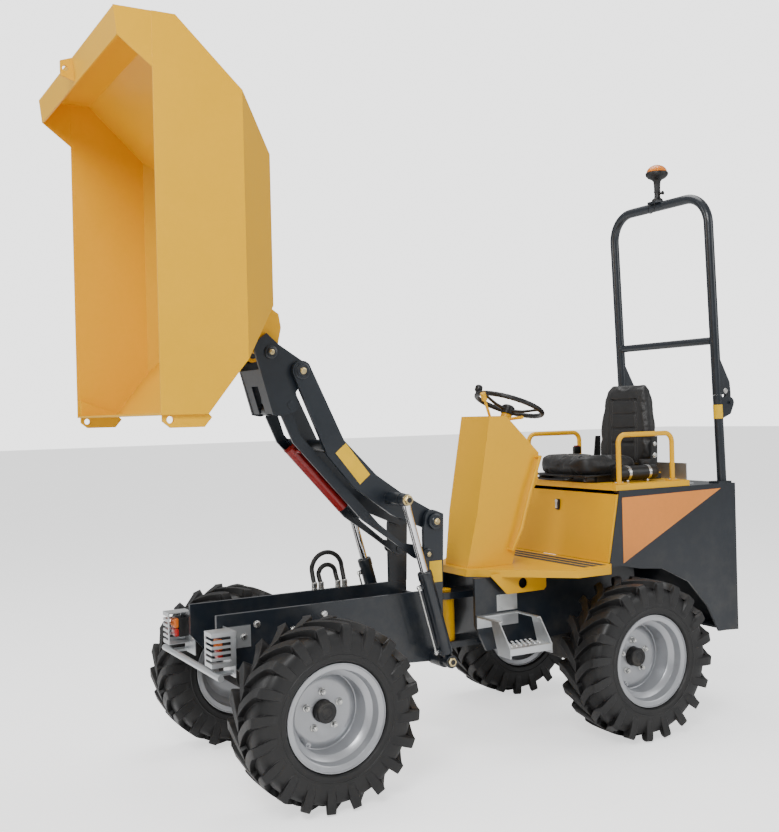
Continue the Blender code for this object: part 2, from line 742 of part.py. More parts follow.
def headstock():
    """Two side plates and a front face that carry the skip, the link and the tip ram."""
    top_front, top_rear = (-0.112, 1.898), (-0.048, 1.950)
    outline = [
        top_front,
        top_rear,
        (0.006, 1.902),
        *arc(BOOM_TIP, 0.046, 55, -20, 5),
        (0.086, 1.690),
        *arc(LINK_FRONT, EYE_RADIUS, 10, -80, 5),
        (0.012, 1.585),
        (-0.026, 1.592),
    ]
    inner = HEAD_OUTER - HEAD_SHEET
    base = plate("headstock", outline, inner, HEAD_OUTER)
    other = plate("headstock.far", outline, -HEAD_OUTER, -inner)
    face = [(-0.110, 1.892), (-0.100, 1.896), (-0.013, 1.604), (-0.024, 1.596)]
    front = plate("headstock.face", face, -inner - 0.004, inner + 0.004)
    slot = box("headstock.slot", (-0.036, 0.036), (-0.120, 0.060), (1.560, 1.720))
    relief = box("headstock.relief", (-inner + 0.002, inner - 0.002),
                 (-0.130, 0.040), (SKIP_PIVOT[1] - 0.075, 1.960))
    foot = rod("headstock.foot", (-inner - 0.004, *TIP_FOOT), (inner + 0.004, *TIP_FOOT), TIP_PIN_RADIUS)
    parts = [other]
    for side in (-1, 1):
        parts.append(rod(f"headstock.pin{side}", (side * (inner - 0.001), *BOOM_TIP),
                         (side * (BOOM_OUTER + 0.012), *BOOM_TIP), PIN_RADIUS))
        parts.append(rod(f"headstock.cap{side}", (side * (BOOM_OUTER + FACE_GAP), *BOOM_TIP),
                         (side * (BOOM_OUTER + 0.010), *BOOM_TIP), 0.030))
        link_end = side * (LINK_OUTER - LINK_SHEET - 0.004)
        parts.append(rod(f"headstock.link_pin{side}", (link_end, *LINK_FRONT),
                         (side * (HEAD_OUTER + 0.003), *LINK_FRONT), PIN_RADIUS))
        skip_end = side * (SKIP_LUG_OUTER - SKIP_LUG_SHEET - 0.002)
        parts.append(rod(f"headstock.skip_pin{side}", (skip_end, *SKIP_PIVOT),
                         (side * (HEAD_OUTER + 0.003), *SKIP_PIVOT), PIN_RADIUS))
        for name, pin, outer in (("link", LINK_FRONT, LINK_OUTER), ("skip", SKIP_PIVOT, SKIP_LUG_OUTER)):
            parts.append(rod(f"headstock.{name}_collar{side}", (side * (outer + FACE_GAP), *pin),
                             (side * (inner + 0.001), *pin), PIN_RADIUS + 0.008))
    join(base, *parts)
    join(base, cut(front, slot, relief), foot)
    return finish(base, SLATE, HEAD)


def ram(name, foot, eye, x, barrel_radius, barrel_length, rod_radius, pin_radius, stroke, moves):
    """Barrel with a bored foot and a rod whose plain eye stands at the open pivot."""
    start, end = Vector((x, *foot)), Vector((x, *eye))
    way = (end - start).normalized()
    mouth = start + way * barrel_length
    near, far = x - RAM_EYE_HALF, x + RAM_EYE_HALF
    barrel = rod(f"{name}_barrel", start + way * 0.046, mouth, barrel_radius, ROUND)
    neck = rod(f"{name}_barrel.neck", start + way * 0.018, start + way * 0.052, 0.020)
    eye_end = rod(f"{name}_barrel.foot", (near, *foot), (far, *foot), EYE_RADIUS * 0.88)
    collar = rod(f"{name}_barrel.collar", mouth - way * 0.022, mouth + way * 0.004,
                 barrel_radius + 0.004, ROUND)
    bore = rod(f"{name}_barrel.bore", (near - 0.010, *foot), (far + 0.010, *foot), bore_for(pin_radius))
    bottom = EYE_RADIUS + 0.022
    hollow = rod(f"{name}_barrel.hollow", start + way * bottom, mouth + way * 0.05,
                 bore_for(rod_radius, ROUND), ROUND)
    cut(join(barrel, neck, eye_end, collar), bore, hollow)
    finish(barrel, PLASTIC, moves[0])
    made = rod(f"{name}_rod", start + way * (bottom + stroke), end - way * 0.010, rod_radius, ROUND)
    eye_piece = rod(f"{name}_rod.eye", (near, *eye), (far, *eye), EYE_RADIUS * 0.80)
    finish(join(made, eye_piece), CHROME, moves[1])


TIP_EYE = (SKIP_PIVOT[0] + TIP_CRANK * math.cos(TIP_CRANK_ANGLE),
           SKIP_PIVOT[1] + TIP_CRANK * math.sin(TIP_CRANK_ANGLE))

boom()
lower_link()
safety_strut()
headstock()
for side_name, side in (("left", 1), ("right", -1)):
    x = side * LIFT_X
    swing = frame(f"lift_ram_{side_name}_pivot", (x, *LIFT_FOOT), ROCK)
    slide = frame(f"lift_rod_{side_name}_slide", (x, *LIFT_EYE), swing)
    ram(f"lift_{side_name}", LIFT_FOOT, LIFT_EYE, x, LIFT_BARREL_RADIUS, LIFT_BARREL_LENGTH,
        LIFT_ROD_RADIUS, PIN_RADIUS, LIFT_STROKE, (swing, slide))
TIP_SLIDE = frame("tip_rod_slide", (0, *TIP_EYE), TIP_RAM)
ram("tip", TIP_FOOT, TIP_EYE, 0, TIP_BARREL_RADIUS, TIP_BARREL_LENGTH, TIP_ROD_RADIUS, TIP_PIN_RADIUS,
    TIP_STROKE, (TIP_RAM, TIP_SLIDE))


# ---- Skip ----------------------------------------------------------------------


def skip():
    """Open box with chamfered sides, a guard along its rear rim and lip lugs.

    The outline is given in the tipped pose, mouth towards -Y and rear edge up.
    """
    rim, top, lip = SKIP_RIM_Y, SKIP_TOP, SKIP_LIP_Z
    half, floor_half, sheet = SKIP_HALF_WIDTH, SKIP_FLOOR_HALF, SKIP_SHEET
    floor_y, floor_top, floor_low = -0.145, 2.650, 2.035
    side_outline = [(rim, lip), (-0.508, lip), (-0.372, 1.770), (floor_y, floor_low),
                    (floor_y, floor_top), (-0.365, 2.850), (-0.600, top), (rim, top)]
    outer = plate("skip", side_outline, -half, half)
    bevel_y, past = -0.352, 0.100
    slope = (half + 0.010 - floor_half) / (floor_y - bevel_y)
    wedge = [(half + 0.010, bevel_y), (floor_half - slope * past, floor_y + past),
             (half + 0.100, floor_y + past), (half + 0.100, bevel_y)]
    corners = []
    for side in (-1, 1):
        outline = [(side * u, v) for u, v in wedge]
        corners.append(plate(f"skip.chamfer{side}", outline, lip - 0.100, top + 0.100, "XY"))
    cut(outer, *corners)
    shell = flatten(outer)
    inner = shell.copy()
    inner.data = shell.data.copy()
    inner.name = "skip.inside"
    MACHINE.objects.link(inner)
    centre_z, centre_y = (top + lip) / 2, rim
    shrink_x = (half - sheet) / half
    shrink_y = (floor_y - sheet - rim) / (floor_y - rim)
    shrink_z = (top - lip - 2 * sheet) / (top - lip)
    place = (Matrix.Translation((0, centre_y - 0.002, centre_z))
             @ Matrix.Diagonal((shrink_x, shrink_y, shrink_z, 1))
             @ Matrix.Translation((0, -centre_y, -centre_z)))
    inner.data.transform(place)
    cut(shell, inner)
    parts = []
    edge, seam = rim - GUARD_REACH, top - 0.001
    wing = [(rim + 0.012, seam), (edge, seam), (edge + 0.012, top - GUARD_LIP), (rim + 0.012, top - 0.215)]
    for side in (-1, 1):
        low, high = sides_of(side, half - sheet + 0.001, half - 0.001)
        parts.append(plate(f"skip.wing{side}", wing, low, high))
    low = top - GUARD_LIP - 0.002
    guard = [(rim + 0.010, seam - 0.001), (edge + 0.001, seam - 0.001), (edge + 0.012, low),
             (edge + 0.012 + sheet, low), (edge + 0.001 + sheet, top - sheet), (rim + 0.010, top - sheet)]
    parts.append(plate("skip.guard", guard, -half + 0.004, half - 0.004))
    eye_z = top - GUARD_LIP * 0.45
    hoist = [(edge - HOIST_EYE, eye_z - 0.030), (edge + 0.012, eye_z - 0.050), (edge + 0.012, eye_z + 0.050),
             (edge - HOIST_EYE, eye_z + 0.030)]
    parts.append(plate("skip.eye", hoist, -0.006, 0.006))
    for side in (-1, 1):
        low, high = sides_of(side, half - 0.030, half - 0.014)
        lug = [(rim + 0.010, lip + 0.080), (rim + 0.010, lip - 0.024), (rim + 0.040, lip - 0.048),
               (-0.520, lip - 0.048), (-0.490, lip - 0.012), (-0.520, lip + 0.020)]
        parts.append(plate(f"skip.lug{side}", lug, low, high))
        low, high = sides_of(side, SKIP_LUG_OUTER - SKIP_LUG_SHEET, SKIP_LUG_OUTER)
        z = SKIP_PIVOT[1]
        ear = [(floor_y - 0.090, z + 0.055), *arc(SKIP_PIVOT, 0.036, 215, 350, 6),
               (TIP_EYE[0] + 0.036, TIP_EYE[1]), (TIP_EYE[0] + 0.026, TIP_EYE[1] + 0.060),
               (floor_y - 0.004, floor_low + 0.120), (floor_y - 0.004, floor_low), (floor_y - 0.090, 1.940)]
        parts.append(plate(f"skip.ear{side}", ear, low, high))
        parts.append(rod(f"skip.rod_pin{side}", (side * (SKIP_LUG_OUTER - 0.005), *TIP_EYE),
                         (side * (RAM_EYE_HALF + FACE_GAP), *TIP_EYE), TIP_PIN_RADIUS))
    holes = []
    for side in (-1, 1):
        x = (side * (half - 0.060), side * (half + 0.060))
        holes.append(rod(f"skip.lug_hole{side}", (x[0], rim + 0.038, lip - 0.018),
                         (x[1], rim + 0.038, lip - 0.018), 0.014))
        holes.append(rod(f"skip.bore{side}", (side * 0.060, *SKIP_PIVOT),
                         (side * (SKIP_LUG_OUTER + 0.030), *SKIP_PIVOT), bore_for(PIN_RADIUS)))
    holes.append(rod("skip.eye_hole", (-0.050, edge - 0.026, eye_z), (0.050, edge - 0.026, eye_z), 0.012))
    return finish(cut(join(shell, *parts), *holes), YELLOW, TIP)


skip()


# ---- Rear frame and body -------------------------------------------------------


def rear_frame():
    """Neck of two side plates with the yoke that holds the king pin."""
    outline = [
        (NECK_FRONT, NECK_TOP),
        (NECK_FRONT, PIVOT_Z - 0.010),
        (NECK_FRONT + 0.060, NECK_BOTTOM),
        (BODY_FRONT + 0.300, NECK_BOTTOM + 0.050),
        (BODY_FRONT + 0.300, NECK_TOP),
    ]
    inner = NECK_OUTER - 0.016
    base = plate("rear_frame", outline, inner, NECK_OUTER)
    other = plate("rear_frame.far", outline, -NECK_OUTER, -inner)
    across = (-inner - 0.004, inner + 0.004)
    cross = box("rear_frame.cross", across, (NECK_FRONT + 0.110, NECK_FRONT + 0.130),
                (NECK_BOTTOM + 0.010, NECK_TOP - 0.006))
    rear = box("rear_frame.rear", across, (BODY_FRONT + 0.240, BODY_FRONT + 0.260),
               (NECK_BOTTOM + 0.080, NECK_TOP - 0.006))
    saddle = box("rear_frame.saddle", across, (WHEELBASE - 0.075, WHEELBASE + 0.075),
                 (TYRE_RADIUS + 0.105 + GAP, TYRE_RADIUS + 0.145))
    parts = [other, cross, rear, saddle]
    bores = []
    half = KNUCKLE_HEIGHT / 2
    for side in (-1, 1):
        near = PIVOT_Z + side * (half + FACE_GAP)
        far = PIVOT_Z + side * (half + YOKE_THICKNESS)
        z = tuple(sorted((near, far)))
        parts.append(box(f"rear_frame.yoke{side}", (-0.070, 0.070), (PIVOT_Y, NECK_FRONT + 0.115), z))
        parts.append(rod(f"rear_frame.eye{side}", (0, PIVOT_Y, z[0]), (0, PIVOT_Y, z[1]), 0.070, ROUND))
        bores.append(rod(f"rear_frame.bore{side}", (0, PIVOT_Y, z[0] - 0.010), (0, PIVOT_Y, z[1] + 0.010),
                         KING_PIN_RADIUS, ROUND))
    return finish(cut(join(base, *parts), *bores), SLATE, ROOT)


def rear_body():
    """Engine bay: arched side plates, a rear face with chamfered corners and a deck rim."""
    corner = 0.075
    outline = [
        (-BODY_HALF, BODY_FRONT - 0.1), (BODY_HALF, BODY_FRONT - 0.1), (BODY_HALF, REAR_END - corner),
        (BODY_HALF - 0.010 + corner * 0.4, REAR_END), (-BODY_HALF + 0.010 - corner * 0.4, REAR_END),
        (-BODY_HALF, REAR_END - corner),
    ]
    base = plate("rear_body", outline, BODY_BOTTOM, BODY_TOP, "XY")
    inside = BODY_HALF - BODY_SHEET
    room = box("rear_body.room", (-inside, inside), (BODY_FRONT - 0.2, REAR_END - BODY_SHEET),
               (BODY_BOTTOM - 0.1, BODY_TOP - BODY_SHEET))
    hatch = box("rear_body.hatch", (-BODY_HALF + 0.040, BODY_HALF - 0.040),
                (BODY_FRONT - 0.2, COVER_REAR - 0.040), (BODY_TOP - 0.1, BODY_TOP + 0.1))
    radius = TYRE_RADIUS + ARCH_GAP
    arch = [
        *[(WHEELBASE + y, TYRE_RADIUS + z) for y, z in arc((0, 0), radius, 180, 70, 8)],
        (WHEELBASE + 0.300, TYRE_RADIUS + 0.385),
        (WHEELBASE + 0.480, TYRE_RADIUS + 0.300),
        (WHEELBASE + 0.610, TYRE_RADIUS + 0.160),
        (WHEELBASE + 0.690, TYRE_RADIUS + 0.015),
        (WHEELBASE + 0.690, 0.2),
        (WHEELBASE - radius, 0.2),
    ]
    opening = plate("rear_body.arch", arch, -BODY_HALF - 0.1, BODY_HALF + 0.1)
    across = (-BODY_HALF + 0.004, BODY_HALF - 0.004)
    floor = box("rear_body.floor", across, (BODY_FRONT + 0.722, REAR_END - 0.006),
                (BODY_BOTTOM + 0.010, BODY_BOTTOM + 0.022))
    cross = box("rear_body.tie", across, (BODY_FRONT + 0.300, BODY_FRONT + 0.620),
                (NECK_TOP + GAP, NECK_TOP + 0.012))
    hitch = box("rear_body.hitch", (-0.090, 0.090), (REAR_END - 0.006, REAR_END + 0.030), (0.450, 0.560))
    jaw = box("rear_body.jaw", (-0.060, 0.060), (REAR_END + 0.008, REAR_END + TOW_JAW), (0.490, 0.520))
    foot, head = SEAT_FRONT
    behind = (SEAT_FOOT_Z, foot + SEAT_SHEET + GAP), (SEAT_HEAD_Z, head + SEAT_SHEET + GAP)
    slope = (behind[1][1] - behind[0][1]) / (behind[1][0] - behind[0][0])
    low, high = BODY_BOTTOM - 0.1, BODY_TOP + 0.1
    rake = [(BODY_FRONT - 0.2, low), (behind[0][1] + slope * (low - SEAT_FOOT_Z), low),
            (behind[0][1] + slope * (high - SEAT_FOOT_Z), high), (BODY_FRONT - 0.2, high)]
    front = plate("rear_body.rake", rake, -BODY_HALF - 0.1, BODY_HALF + 0.1)
    cut(base, room, hatch, opening, front)
    posts = []
    for side in (-1, 1):
        lean = (HOOP_TOP_Y - HOOP_BASE_Y) / (HOOP_TOP - BODY_TOP)
        y_split = HOOP_BASE_Y + lean * (HOOP_SPLIT_Z - BODY_TOP)
        low = Vector((side * HOOP_HALF, HOOP_BASE_Y - lean * 0.3, BODY_TOP - 0.3))
        high = Vector((side * HOOP_HALF, y_split, HOOP_SPLIT_Z))
        posts.append(rod(f"rear_body.post{side}", low, high, HOOP_TUBE))
        y, z = HOOP_HINGE
        ear = [(y_split - 0.004, z - 0.090), (y + 0.004, z - 0.060), *arc((y, z), 0.030, -30, 90, 5),
               (y_split - 0.004, z + 0.030)]
        low_x, high_x = side * HOOP_HALF - 0.024, side * HOOP_HALF + 0.024
        posts.append(plate(f"rear_body.ear{side}", ear, low_x, low_x + 0.010))
        posts.append(plate(f"rear_body.ear_out{side}", ear, high_x - 0.010, high_x))
        posts.append(rod(f"rear_body.pin{side}", (low_x - 0.010, y, z), (high_x + 0.010, y, z),
                         HINGE_PIN_RADIUS))
        posts.append(box(f"rear_body.foot{side}", (side * HOOP_HALF - 0.034, side * HOOP_HALF + 0.034),
                         (HOOP_BASE_Y - 0.060, REAR_END - 0.004), (BODY_TOP - 0.040, BODY_TOP + 0.010)))
    return finish(join(base, floor, cross, hitch, jaw, *posts), SLATE, ROOT)


def engine():
    """Plain block with the gearbox end towards the front."""
    base = box("engine_block", (-0.190, 0.190), (BODY_FRONT + 0.330, BODY_FRONT + 0.620),
               (NECK_TOP + 0.012 + GAP, BODY_TOP - 0.060))
    return finish(base, CAST, ROOT)


def footplate():
    """Cab floor with a turned-down edge and a valance below each side."""
    front, wide, end = NECK_FRONT + 0.005, 1.345, BODY_FRONT - 0.040
    half, top = FOOTPLATE_HALF, FOOTPLATE_TOP
    outline = [(0.135, front), (half, wide), (half, end - 0.070), (SEAT_BASE_HALF + 0.030, end),
               (-SEAT_BASE_HALF - 0.030, end), (-half, end - 0.070), (-half, wide), (-0.135, front)]
    base = plate("footplate", outline, NECK_TOP + GAP, top, "XY")
    under = plate("footplate.under", [(u * 0.965, v + (0.012 if v < 1.2 else 0.0)) for u, v in outline],
                  NECK_TOP - 0.1, top - 0.008, "XY")
    cut(base, under)
    parts = []
    for side in (-1, 1):
        valance = [(1.010, NECK_TOP + 0.016), (1.110, NECK_TOP - 0.085), (1.330, NECK_TOP - 0.085),
                   (1.345, NECK_TOP - 0.070), (1.345, NECK_TOP + 0.016)]
        inner = 0.245
        low, high = sides_of(side, inner, inner + 0.006)
        flap = plate(f"footplate.valance{side}", valance, low, high)
        low, high = sides_of(side, inner - 0.020, inner + 0.030)
        hole_z = NECK_TOP - 0.040
        hole = rod(f"footplate.hole{side}", (low, 1.205, hole_z), (high, 1.205, hole_z), 0.026)
        parts.append(cut(flap, hole))
        parts.append(box(f"footplate.rib{side}", sides_of(side, NECK_OUTER - 0.020, inner + 0.003),
                         (1.060, 1.330), (NECK_TOP + GAP, NECK_TOP + 0.010)))
        parts.append(box(f"footplate.stay{side}", sides_of(side, inner - 0.003, inner + 0.006),
                         (1.100, 1.300), (NECK_TOP + 0.004, top - 0.004)))
    return finish(join(base, *parts), YELLOW, ROOT)


def seat_base():
    """Sloping front panel below the seat, folded back to the body's side plates."""
    foot, head = SEAT_FRONT
    bottom, top, sheet = SEAT_FOOT_Z, SEAT_HEAD_Z, SEAT_SHEET
    outline = [(foot, bottom), (foot + sheet, bottom), (head + sheet, top), (head, top)]
    half = SEAT_BASE_HALF
    base = plate("seat_base", outline, -half, half)
    parts = []
    for side in (-1, 1):
        low, high = sides_of(side, half - 0.036, half - 0.014)
        wing = [(foot + 0.004, bottom + 0.002), (BODY_FRONT + 0.080, bottom + 0.002),
                (BODY_FRONT + 0.080, top - 0.040), (head + 0.004, top - 0.004)]
        parts.append(plate(f"seat_base.wing{side}", wing, low, high))
    return finish(join(base, *parts), YELLOW, ROOT)


def steering_cowl():
    """Faceted tower with a column, a lever, a switch stalk and a grab tube on its left."""
    bottom, top = FOOTPLATE_TOP + GAP, 1.560
    outline = [(0.985, bottom), (1.235, bottom), (1.330, 1.120), (1.405, 1.230), (1.415, 1.370),
               (1.220, top), (1.120, top)]
    base = plate("steering_cowl", outline, -0.125, 0.125)
    chamfers = []
    for side in (-1, 1):
        wedge = [(side * 0.070, 0.940), (side * 0.200, 0.940), (side * 0.200, 1.160)]
        chamfers.append(plate(f"steering_cowl.chamfer{side}", wedge, bottom - 0.1, top + 0.1, "XY"))
    room_outline = [(1.003, bottom - 0.1), (1.300, bottom - 0.1), (1.345, 1.120), (1.330, 1.300),
                    (1.180, top - 0.060), (1.140, top - 0.060)]
    room = plate("steering_cowl.room", room_outline, -0.113, 0.113)
    cut(base, *chamfers, room)
    y, z = WHEEL_CENTRE
    axis = Vector((0, math.sin(COLUMN_TILT), math.cos(COLUMN_TILT)))
    top_end = Vector((0, y, z)) - axis * 0.0515
    column = rod("steering_cowl.column", top_end - axis * 0.150, top_end, 0.028)
    stick_foot, stick_top = (0.060, 1.170, top - 0.010), (0.085, 1.120, top + 0.085)
    stick = rod("steering_cowl.lever", stick_foot, stick_top, 0.007, 10)
    knob = rod("steering_cowl.knob", (0.084, 1.122, top + 0.080), (0.092, 1.106, top + 0.115), 0.014, 10)
    switch = rod("steering_cowl.switch", Vector((0.0, y, z)) - axis * 0.080,
                 Vector((0.130, y + 0.010, z)) - axis * 0.070, 0.008, 10)
    points = [(0.121, 1.395, 1.350), (0.155, 1.400, 1.350), (0.159, 1.330, 1.180),
              (0.159, 1.270, 1.000), (0.155, 1.220, 0.900), (0.121, 1.215, 0.900)]
    grip = tube("steering_cowl.grip", points, 0.010)
    return finish(join(base, column, stick, knob, switch, grip), YELLOW, ROOT)


def cab_step():
    """Galvanised tread hung from a flange on the left of the neck."""
    y, x = (0.955, 1.195), (NECK_OUTER + GAP, 0.480)
    z_top, z_tread = 0.612, 0.500
    sheet = 0.006
    base = box("cab_step", (x[0], x[1] - 0.085), y, (z_top - sheet, z_top))
    window = box("cab_step.window", (x[0] + 0.030, x[1] - 0.060), (y[0] + 0.020, y[1] - 0.020),
                 (z_top - 0.020, z_top + 0.020))
    cut(base, window)
    tread = box("cab_step.tread", (x[1] - 0.095, x[1]), y, (z_tread - 0.030, z_tread))
    hollow = box("cab_step.hollow", (x[1] - 0.089, x[1] - sheet), (y[0] - 0.01, y[1] + 0.01),
                 (z_tread - 0.040, z_tread - sheet))
    cut(tread, hollow)
    parts = [tread]
    for edge in y:
        inward = sheet if edge == y[0] else -sheet
        cheek = [(x[0] + 0.040, z_top), (x[1] - 0.085, z_top), (x[1], z_tread),
                 (x[1], z_tread - 0.044), (x[1] - 0.095, z_tread - 0.044),
                 (x[0] + 0.120, z_top - sheet), (x[0] + 0.040, z_top - sheet)]
        low, high = sorted((-edge, -edge - inward))
        parts.append(plate(f"cab_step.cheek{edge}", cheek, low, high, "XZ"))
    flange = box("cab_step.flange", (x[0], x[0] + sheet), (y[0], y[1]), (z_top - 0.060, z_top))
    return finish(join(base, flange, *parts), GALVANISED, ROOT)


def back_panel():
    """Galvanised plate between the cover and the hoop, with the wiring tray."""
    y = COVER_REAR + 0.060
    base = box("back_panel", (-0.300, 0.300), (y, y + 0.006), (BODY_TOP + GAP, BODY_TOP + 0.110))
    foot = box("back_panel.foot", (-0.300, 0.300), (y + 0.002, y + 0.050),
               (BODY_TOP + GAP, BODY_TOP + 0.006))
    return finish(join(base, foot), GALVANISED, ROOT)


rear_frame()
rear_body()
engine()
footplate()
seat_base()
steering_cowl()
cab_step()
back_panel()


# ---- Engine cover, seat and rails ----------------------------------------------

COVER_LOW = BODY_TOP + GAP
SEAT_BACK_LOW = COVER_LOW + COVER_THICKNESS + 0.140
COVER_TOP = COVER_LOW + COVER_THICKNESS


def engine_cover():
    """Lid over the engine bay with a turned-down front edge, hinged at its rear."""
    half = SEAT_BASE_HALF
    front = SEAT_FRONT[1] - 0.004
    base = box("engine_cover", (-half, half), (front, COVER_REAR - 0.016), (COVER_LOW, COVER_TOP))
    knuckles = rod("engine_cover.knuckle", (-0.250, *COVER_HINGE), (0.250, *COVER_HINGE), 0.009)
    leaf = box("engine_cover.leaf", (-0.250, 0.250), (COVER_REAR - 0.020, COVER_REAR),
               (COVER_HINGE[1] - 0.003, COVER_HINGE[1] + 0.003))
    pan = box("engine_cover.pan", (-0.210, 0.210), (COVER_REAR - 0.470, COVER_REAR - 0.035),
              (COVER_TOP - 0.004, COVER_TOP + 0.036))
    stand = box("engine_cover.stand", (-0.160, 0.160), (COVER_REAR - 0.088, COVER_REAR - 0.043),
                (COVER_TOP + 0.030, SEAT_BACK_LOW - GAP))
    return finish(join(base, knuckles, leaf, pan, stand), YELLOW, COVER)


def hinge_strap():
    """Fixed leaf of the cover's hinge on the deck."""
    y, z = COVER_HINGE
    base = box("cover_hinge_leaf", (-0.330, 0.330), (y + 0.012, y + 0.045),
               (BODY_TOP + GAP, BODY_TOP + 0.006))
    parts = []
    for side in (-1, 1):
        inner = side * (0.250 + FACE_GAP)
        parts.append(rod(f"cover_hinge_leaf.end{side}", (inner, y, z), (side * 0.330, y, z), 0.009))
        parts.append(box(f"cover_hinge_leaf.lug{side}", sides_of(side, 0.262, 0.322), (y, y + 0.016),
                         (BODY_TOP + GAP, z + 0.004)))
    return finish(join(base, *parts), GALVANISED, ROOT)


def seat_cushion():
    top = COVER_TOP + 0.036 + GAP
    base = box("seat_cushion", (-0.235, 0.235), (COVER_REAR - 0.570, COVER_REAR - 0.140), (top, top + 0.095))
    edge = base.modifiers.new("round", "BEVEL")
    edge.width = 0.024
    edge.segments = 2
    return finish(base, VINYL, COVER)


def seat_back():
    low = SEAT_BACK_LOW
    face, rear = COVER_REAR - 0.108, COVER_REAR - 0.025
    outline = [(face, low), (rear, low), (rear + 0.020, low + 0.360), (face + 0.038, low + 0.385),
               (face + 0.003, low + 0.345)]
    base = plate("seat_back", outline, -0.225, 0.225)
    edge = base.modifiers.new("round", "BEVEL")
    edge.width = 0.016
    edge.segments = 2
    return finish(base, VINYL, COVER)


def grab_rail(side_name, side):
    x = side * (SEAT_BASE_HALF - 0.030)
    front, rear, top = COVER_REAR - 0.465, COVER_REAR - 0.105, COVER_TOP + GRAB_HEIGHT
    bend = 0.045
    front_bend = arc((front + bend, top - bend), bend, 180, 90, 4)
    rear_bend = arc((rear - bend, top - bend), bend, 90, 0, 4)
    path = [(front, COVER_TOP + GAP), *front_bend, *rear_bend, (rear, COVER_TOP + GAP)]
    base = tube(f"grab_rail_{side_name}", [(x, y, z) for y, z in path], RAIL_TUBE)
    feet = []
    for y in (front, rear):
        feet.append(box(f"grab_rail_{side_name}.foot{y}", (x - 0.024, x + 0.024), (y - 0.030, y + 0.030),
                        (COVER_TOP + GAP, COVER_TOP + 0.008)))
    return finish(join(base, *feet), YELLOW, COVER)


def document_tube():
    """Handbook canister strapped inside the left grab rail."""
    x, z = SEAT_BASE_HALF - 0.105, COVER_TOP + 0.047
    front, rear = COVER_REAR - 0.425, COVER_REAR - 0.155
    base = rod("document_tube", (x, front, z), (x, rear, z), 0.038)
    clips = []
    for y in (front + 0.035, rear - 0.035):
        clips.append(box(f"document_tube.clip{y}", (x - 0.016, x + 0.016), (y - 0.010, y + 0.010),
                         (COVER_TOP + GAP, z)))
    return finish(join(base, *clips), PLASTIC, COVER)


engine_cover()
hinge_strap()
seat_cushion()
seat_back()
both_sides(grab_rail)
document_tube()


# ---- Roll-over hoop, beacon and steering wheel ---------------------------------


def hoop():
    """Folding upper part: bent tube, crossbar and a hinge leaf behind each post."""
    lean = (HOOP_TOP_Y - HOOP_BASE_Y) / (HOOP_TOP - BODY_TOP)

    def at(z):
        return HOOP_BASE_Y + lean * (z - BODY_TOP)

    start = HOOP_SPLIT_Z + 0.001
    centre_z = HOOP_TOP - HOOP_TUBE
    bend = HOOP_BEND
    inner = HOOP_HALF - bend
    right = [(inner + bend * math.cos(a), centre_z - bend + bend * math.sin(a))
             for a in (math.pi / 2 * i / 5 for i in range(6))]
    half = [(HOOP_HALF, start)] + right
    path = half + [(-x, z) for x, z in half[::-1]]
    base = tube("roll_hoop", [(x, at(z), z) for x, z in path], HOOP_TUBE, 3)
    parts = [rod("roll_hoop.crossbar", (-HOOP_HALF, at(CROSSBAR_Z), CROSSBAR_Z),
                 (HOOP_HALF, at(CROSSBAR_Z), CROSSBAR_Z), 0.020)]
    bores = []
    y, z = HOOP_HINGE
    for side in (-1, 1):
        leaf = [(at(start + 0.040), start + 0.002), (y - 0.012, start + 0.002),
                *arc((y, z), 0.024, 200, 360, 6), (y + 0.024, start + 0.060),
                (at(start + 0.240), start + 0.240), (at(start + 0.200) - 0.008, start + 0.200)]
        x = side * HOOP_HALF
        parts.append(plate(f"roll_hoop.leaf{side}", leaf, x - 0.008, x + 0.008))
        bores.append(rod(f"roll_hoop.bore{side}", (x - 0.030, y, z), (x + 0.030, y, z),
                         bore_for(HINGE_PIN_RADIUS)))
    plate_y = at(centre_z)
    parts.append(box("roll_hoop.beacon_plate", (-0.040, 0.040), (plate_y - 0.040, plate_y + 0.040),
                     (HOOP_TOP - 0.010, HOOP_TOP + 0.004)))
    return finish(cut(join(base, *parts), *bores), SLATE, FOLD)


def beacon():
    """Amber dome on a black dish and stem."""
    y, z = HOOP_TOP_Y + 0.001, HOOP_TOP + 0.004 + GAP
    profile = [(0.0, 0.205), (0.022, 0.203), (0.038, 0.192), (0.047, 0.172), (0.060, 0.160),
               (0.062, 0.145), (0.048, 0.128), (0.022, 0.118), (0.017, 0.060), (0.017, 0.020),
               (0.030, 0.012), (0.030, 0.0), (0.0, 0.0)]
    base = turned("beacon", profile, (0, y, z), (0, 0, 1), sides=20)
    return finish(base, AMBER, FOLD)


def steering_wheel():
    axis = Vector((0, math.sin(COLUMN_TILT), math.cos(COLUMN_TILT)))
    centre = (0, *WHEEL_CENTRE)
    spin = frame("steering_wheel_spin", centre, ROOT)
    ring = arc((WHEEL_RADIUS - WHEEL_TUBE, 0), WHEEL_TUBE, 0, -315, 8)
    made = turned("steering_wheel", ring, centre, axis, closed=True, sides=24)
    hub = rod("steering_wheel.hub", Vector(centre) - axis * 0.051, Vector(centre) - axis * 0.004, 0.034)
    spokes = []
    across = Vector((1, 0, 0))
    upward = axis.cross(across)
    for turn in (-90, 30, 150):
        angle = math.radians(turn)
        way = across * math.cos(angle) + upward * math.sin(angle)
        spokes.append(rod(f"steering_wheel.spoke{turn}", Vector(centre) - axis * 0.028 + way * 0.010,
                          Vector(centre) + way * (WHEEL_RADIUS - WHEEL_TUBE), 0.009, 8))
    grip_way = across * -0.5 - upward * 0.866
    grip_at = Vector(centre) + grip_way * (WHEEL_RADIUS - WHEEL_TUBE)
    knob = rod("steering_wheel.knob", grip_at, grip_at + axis * 0.055, 0.020, 12)
    return finish(join(made, hub, *spokes, knob), PLASTIC, spin)


hoop()
beacon()
steering_wheel()
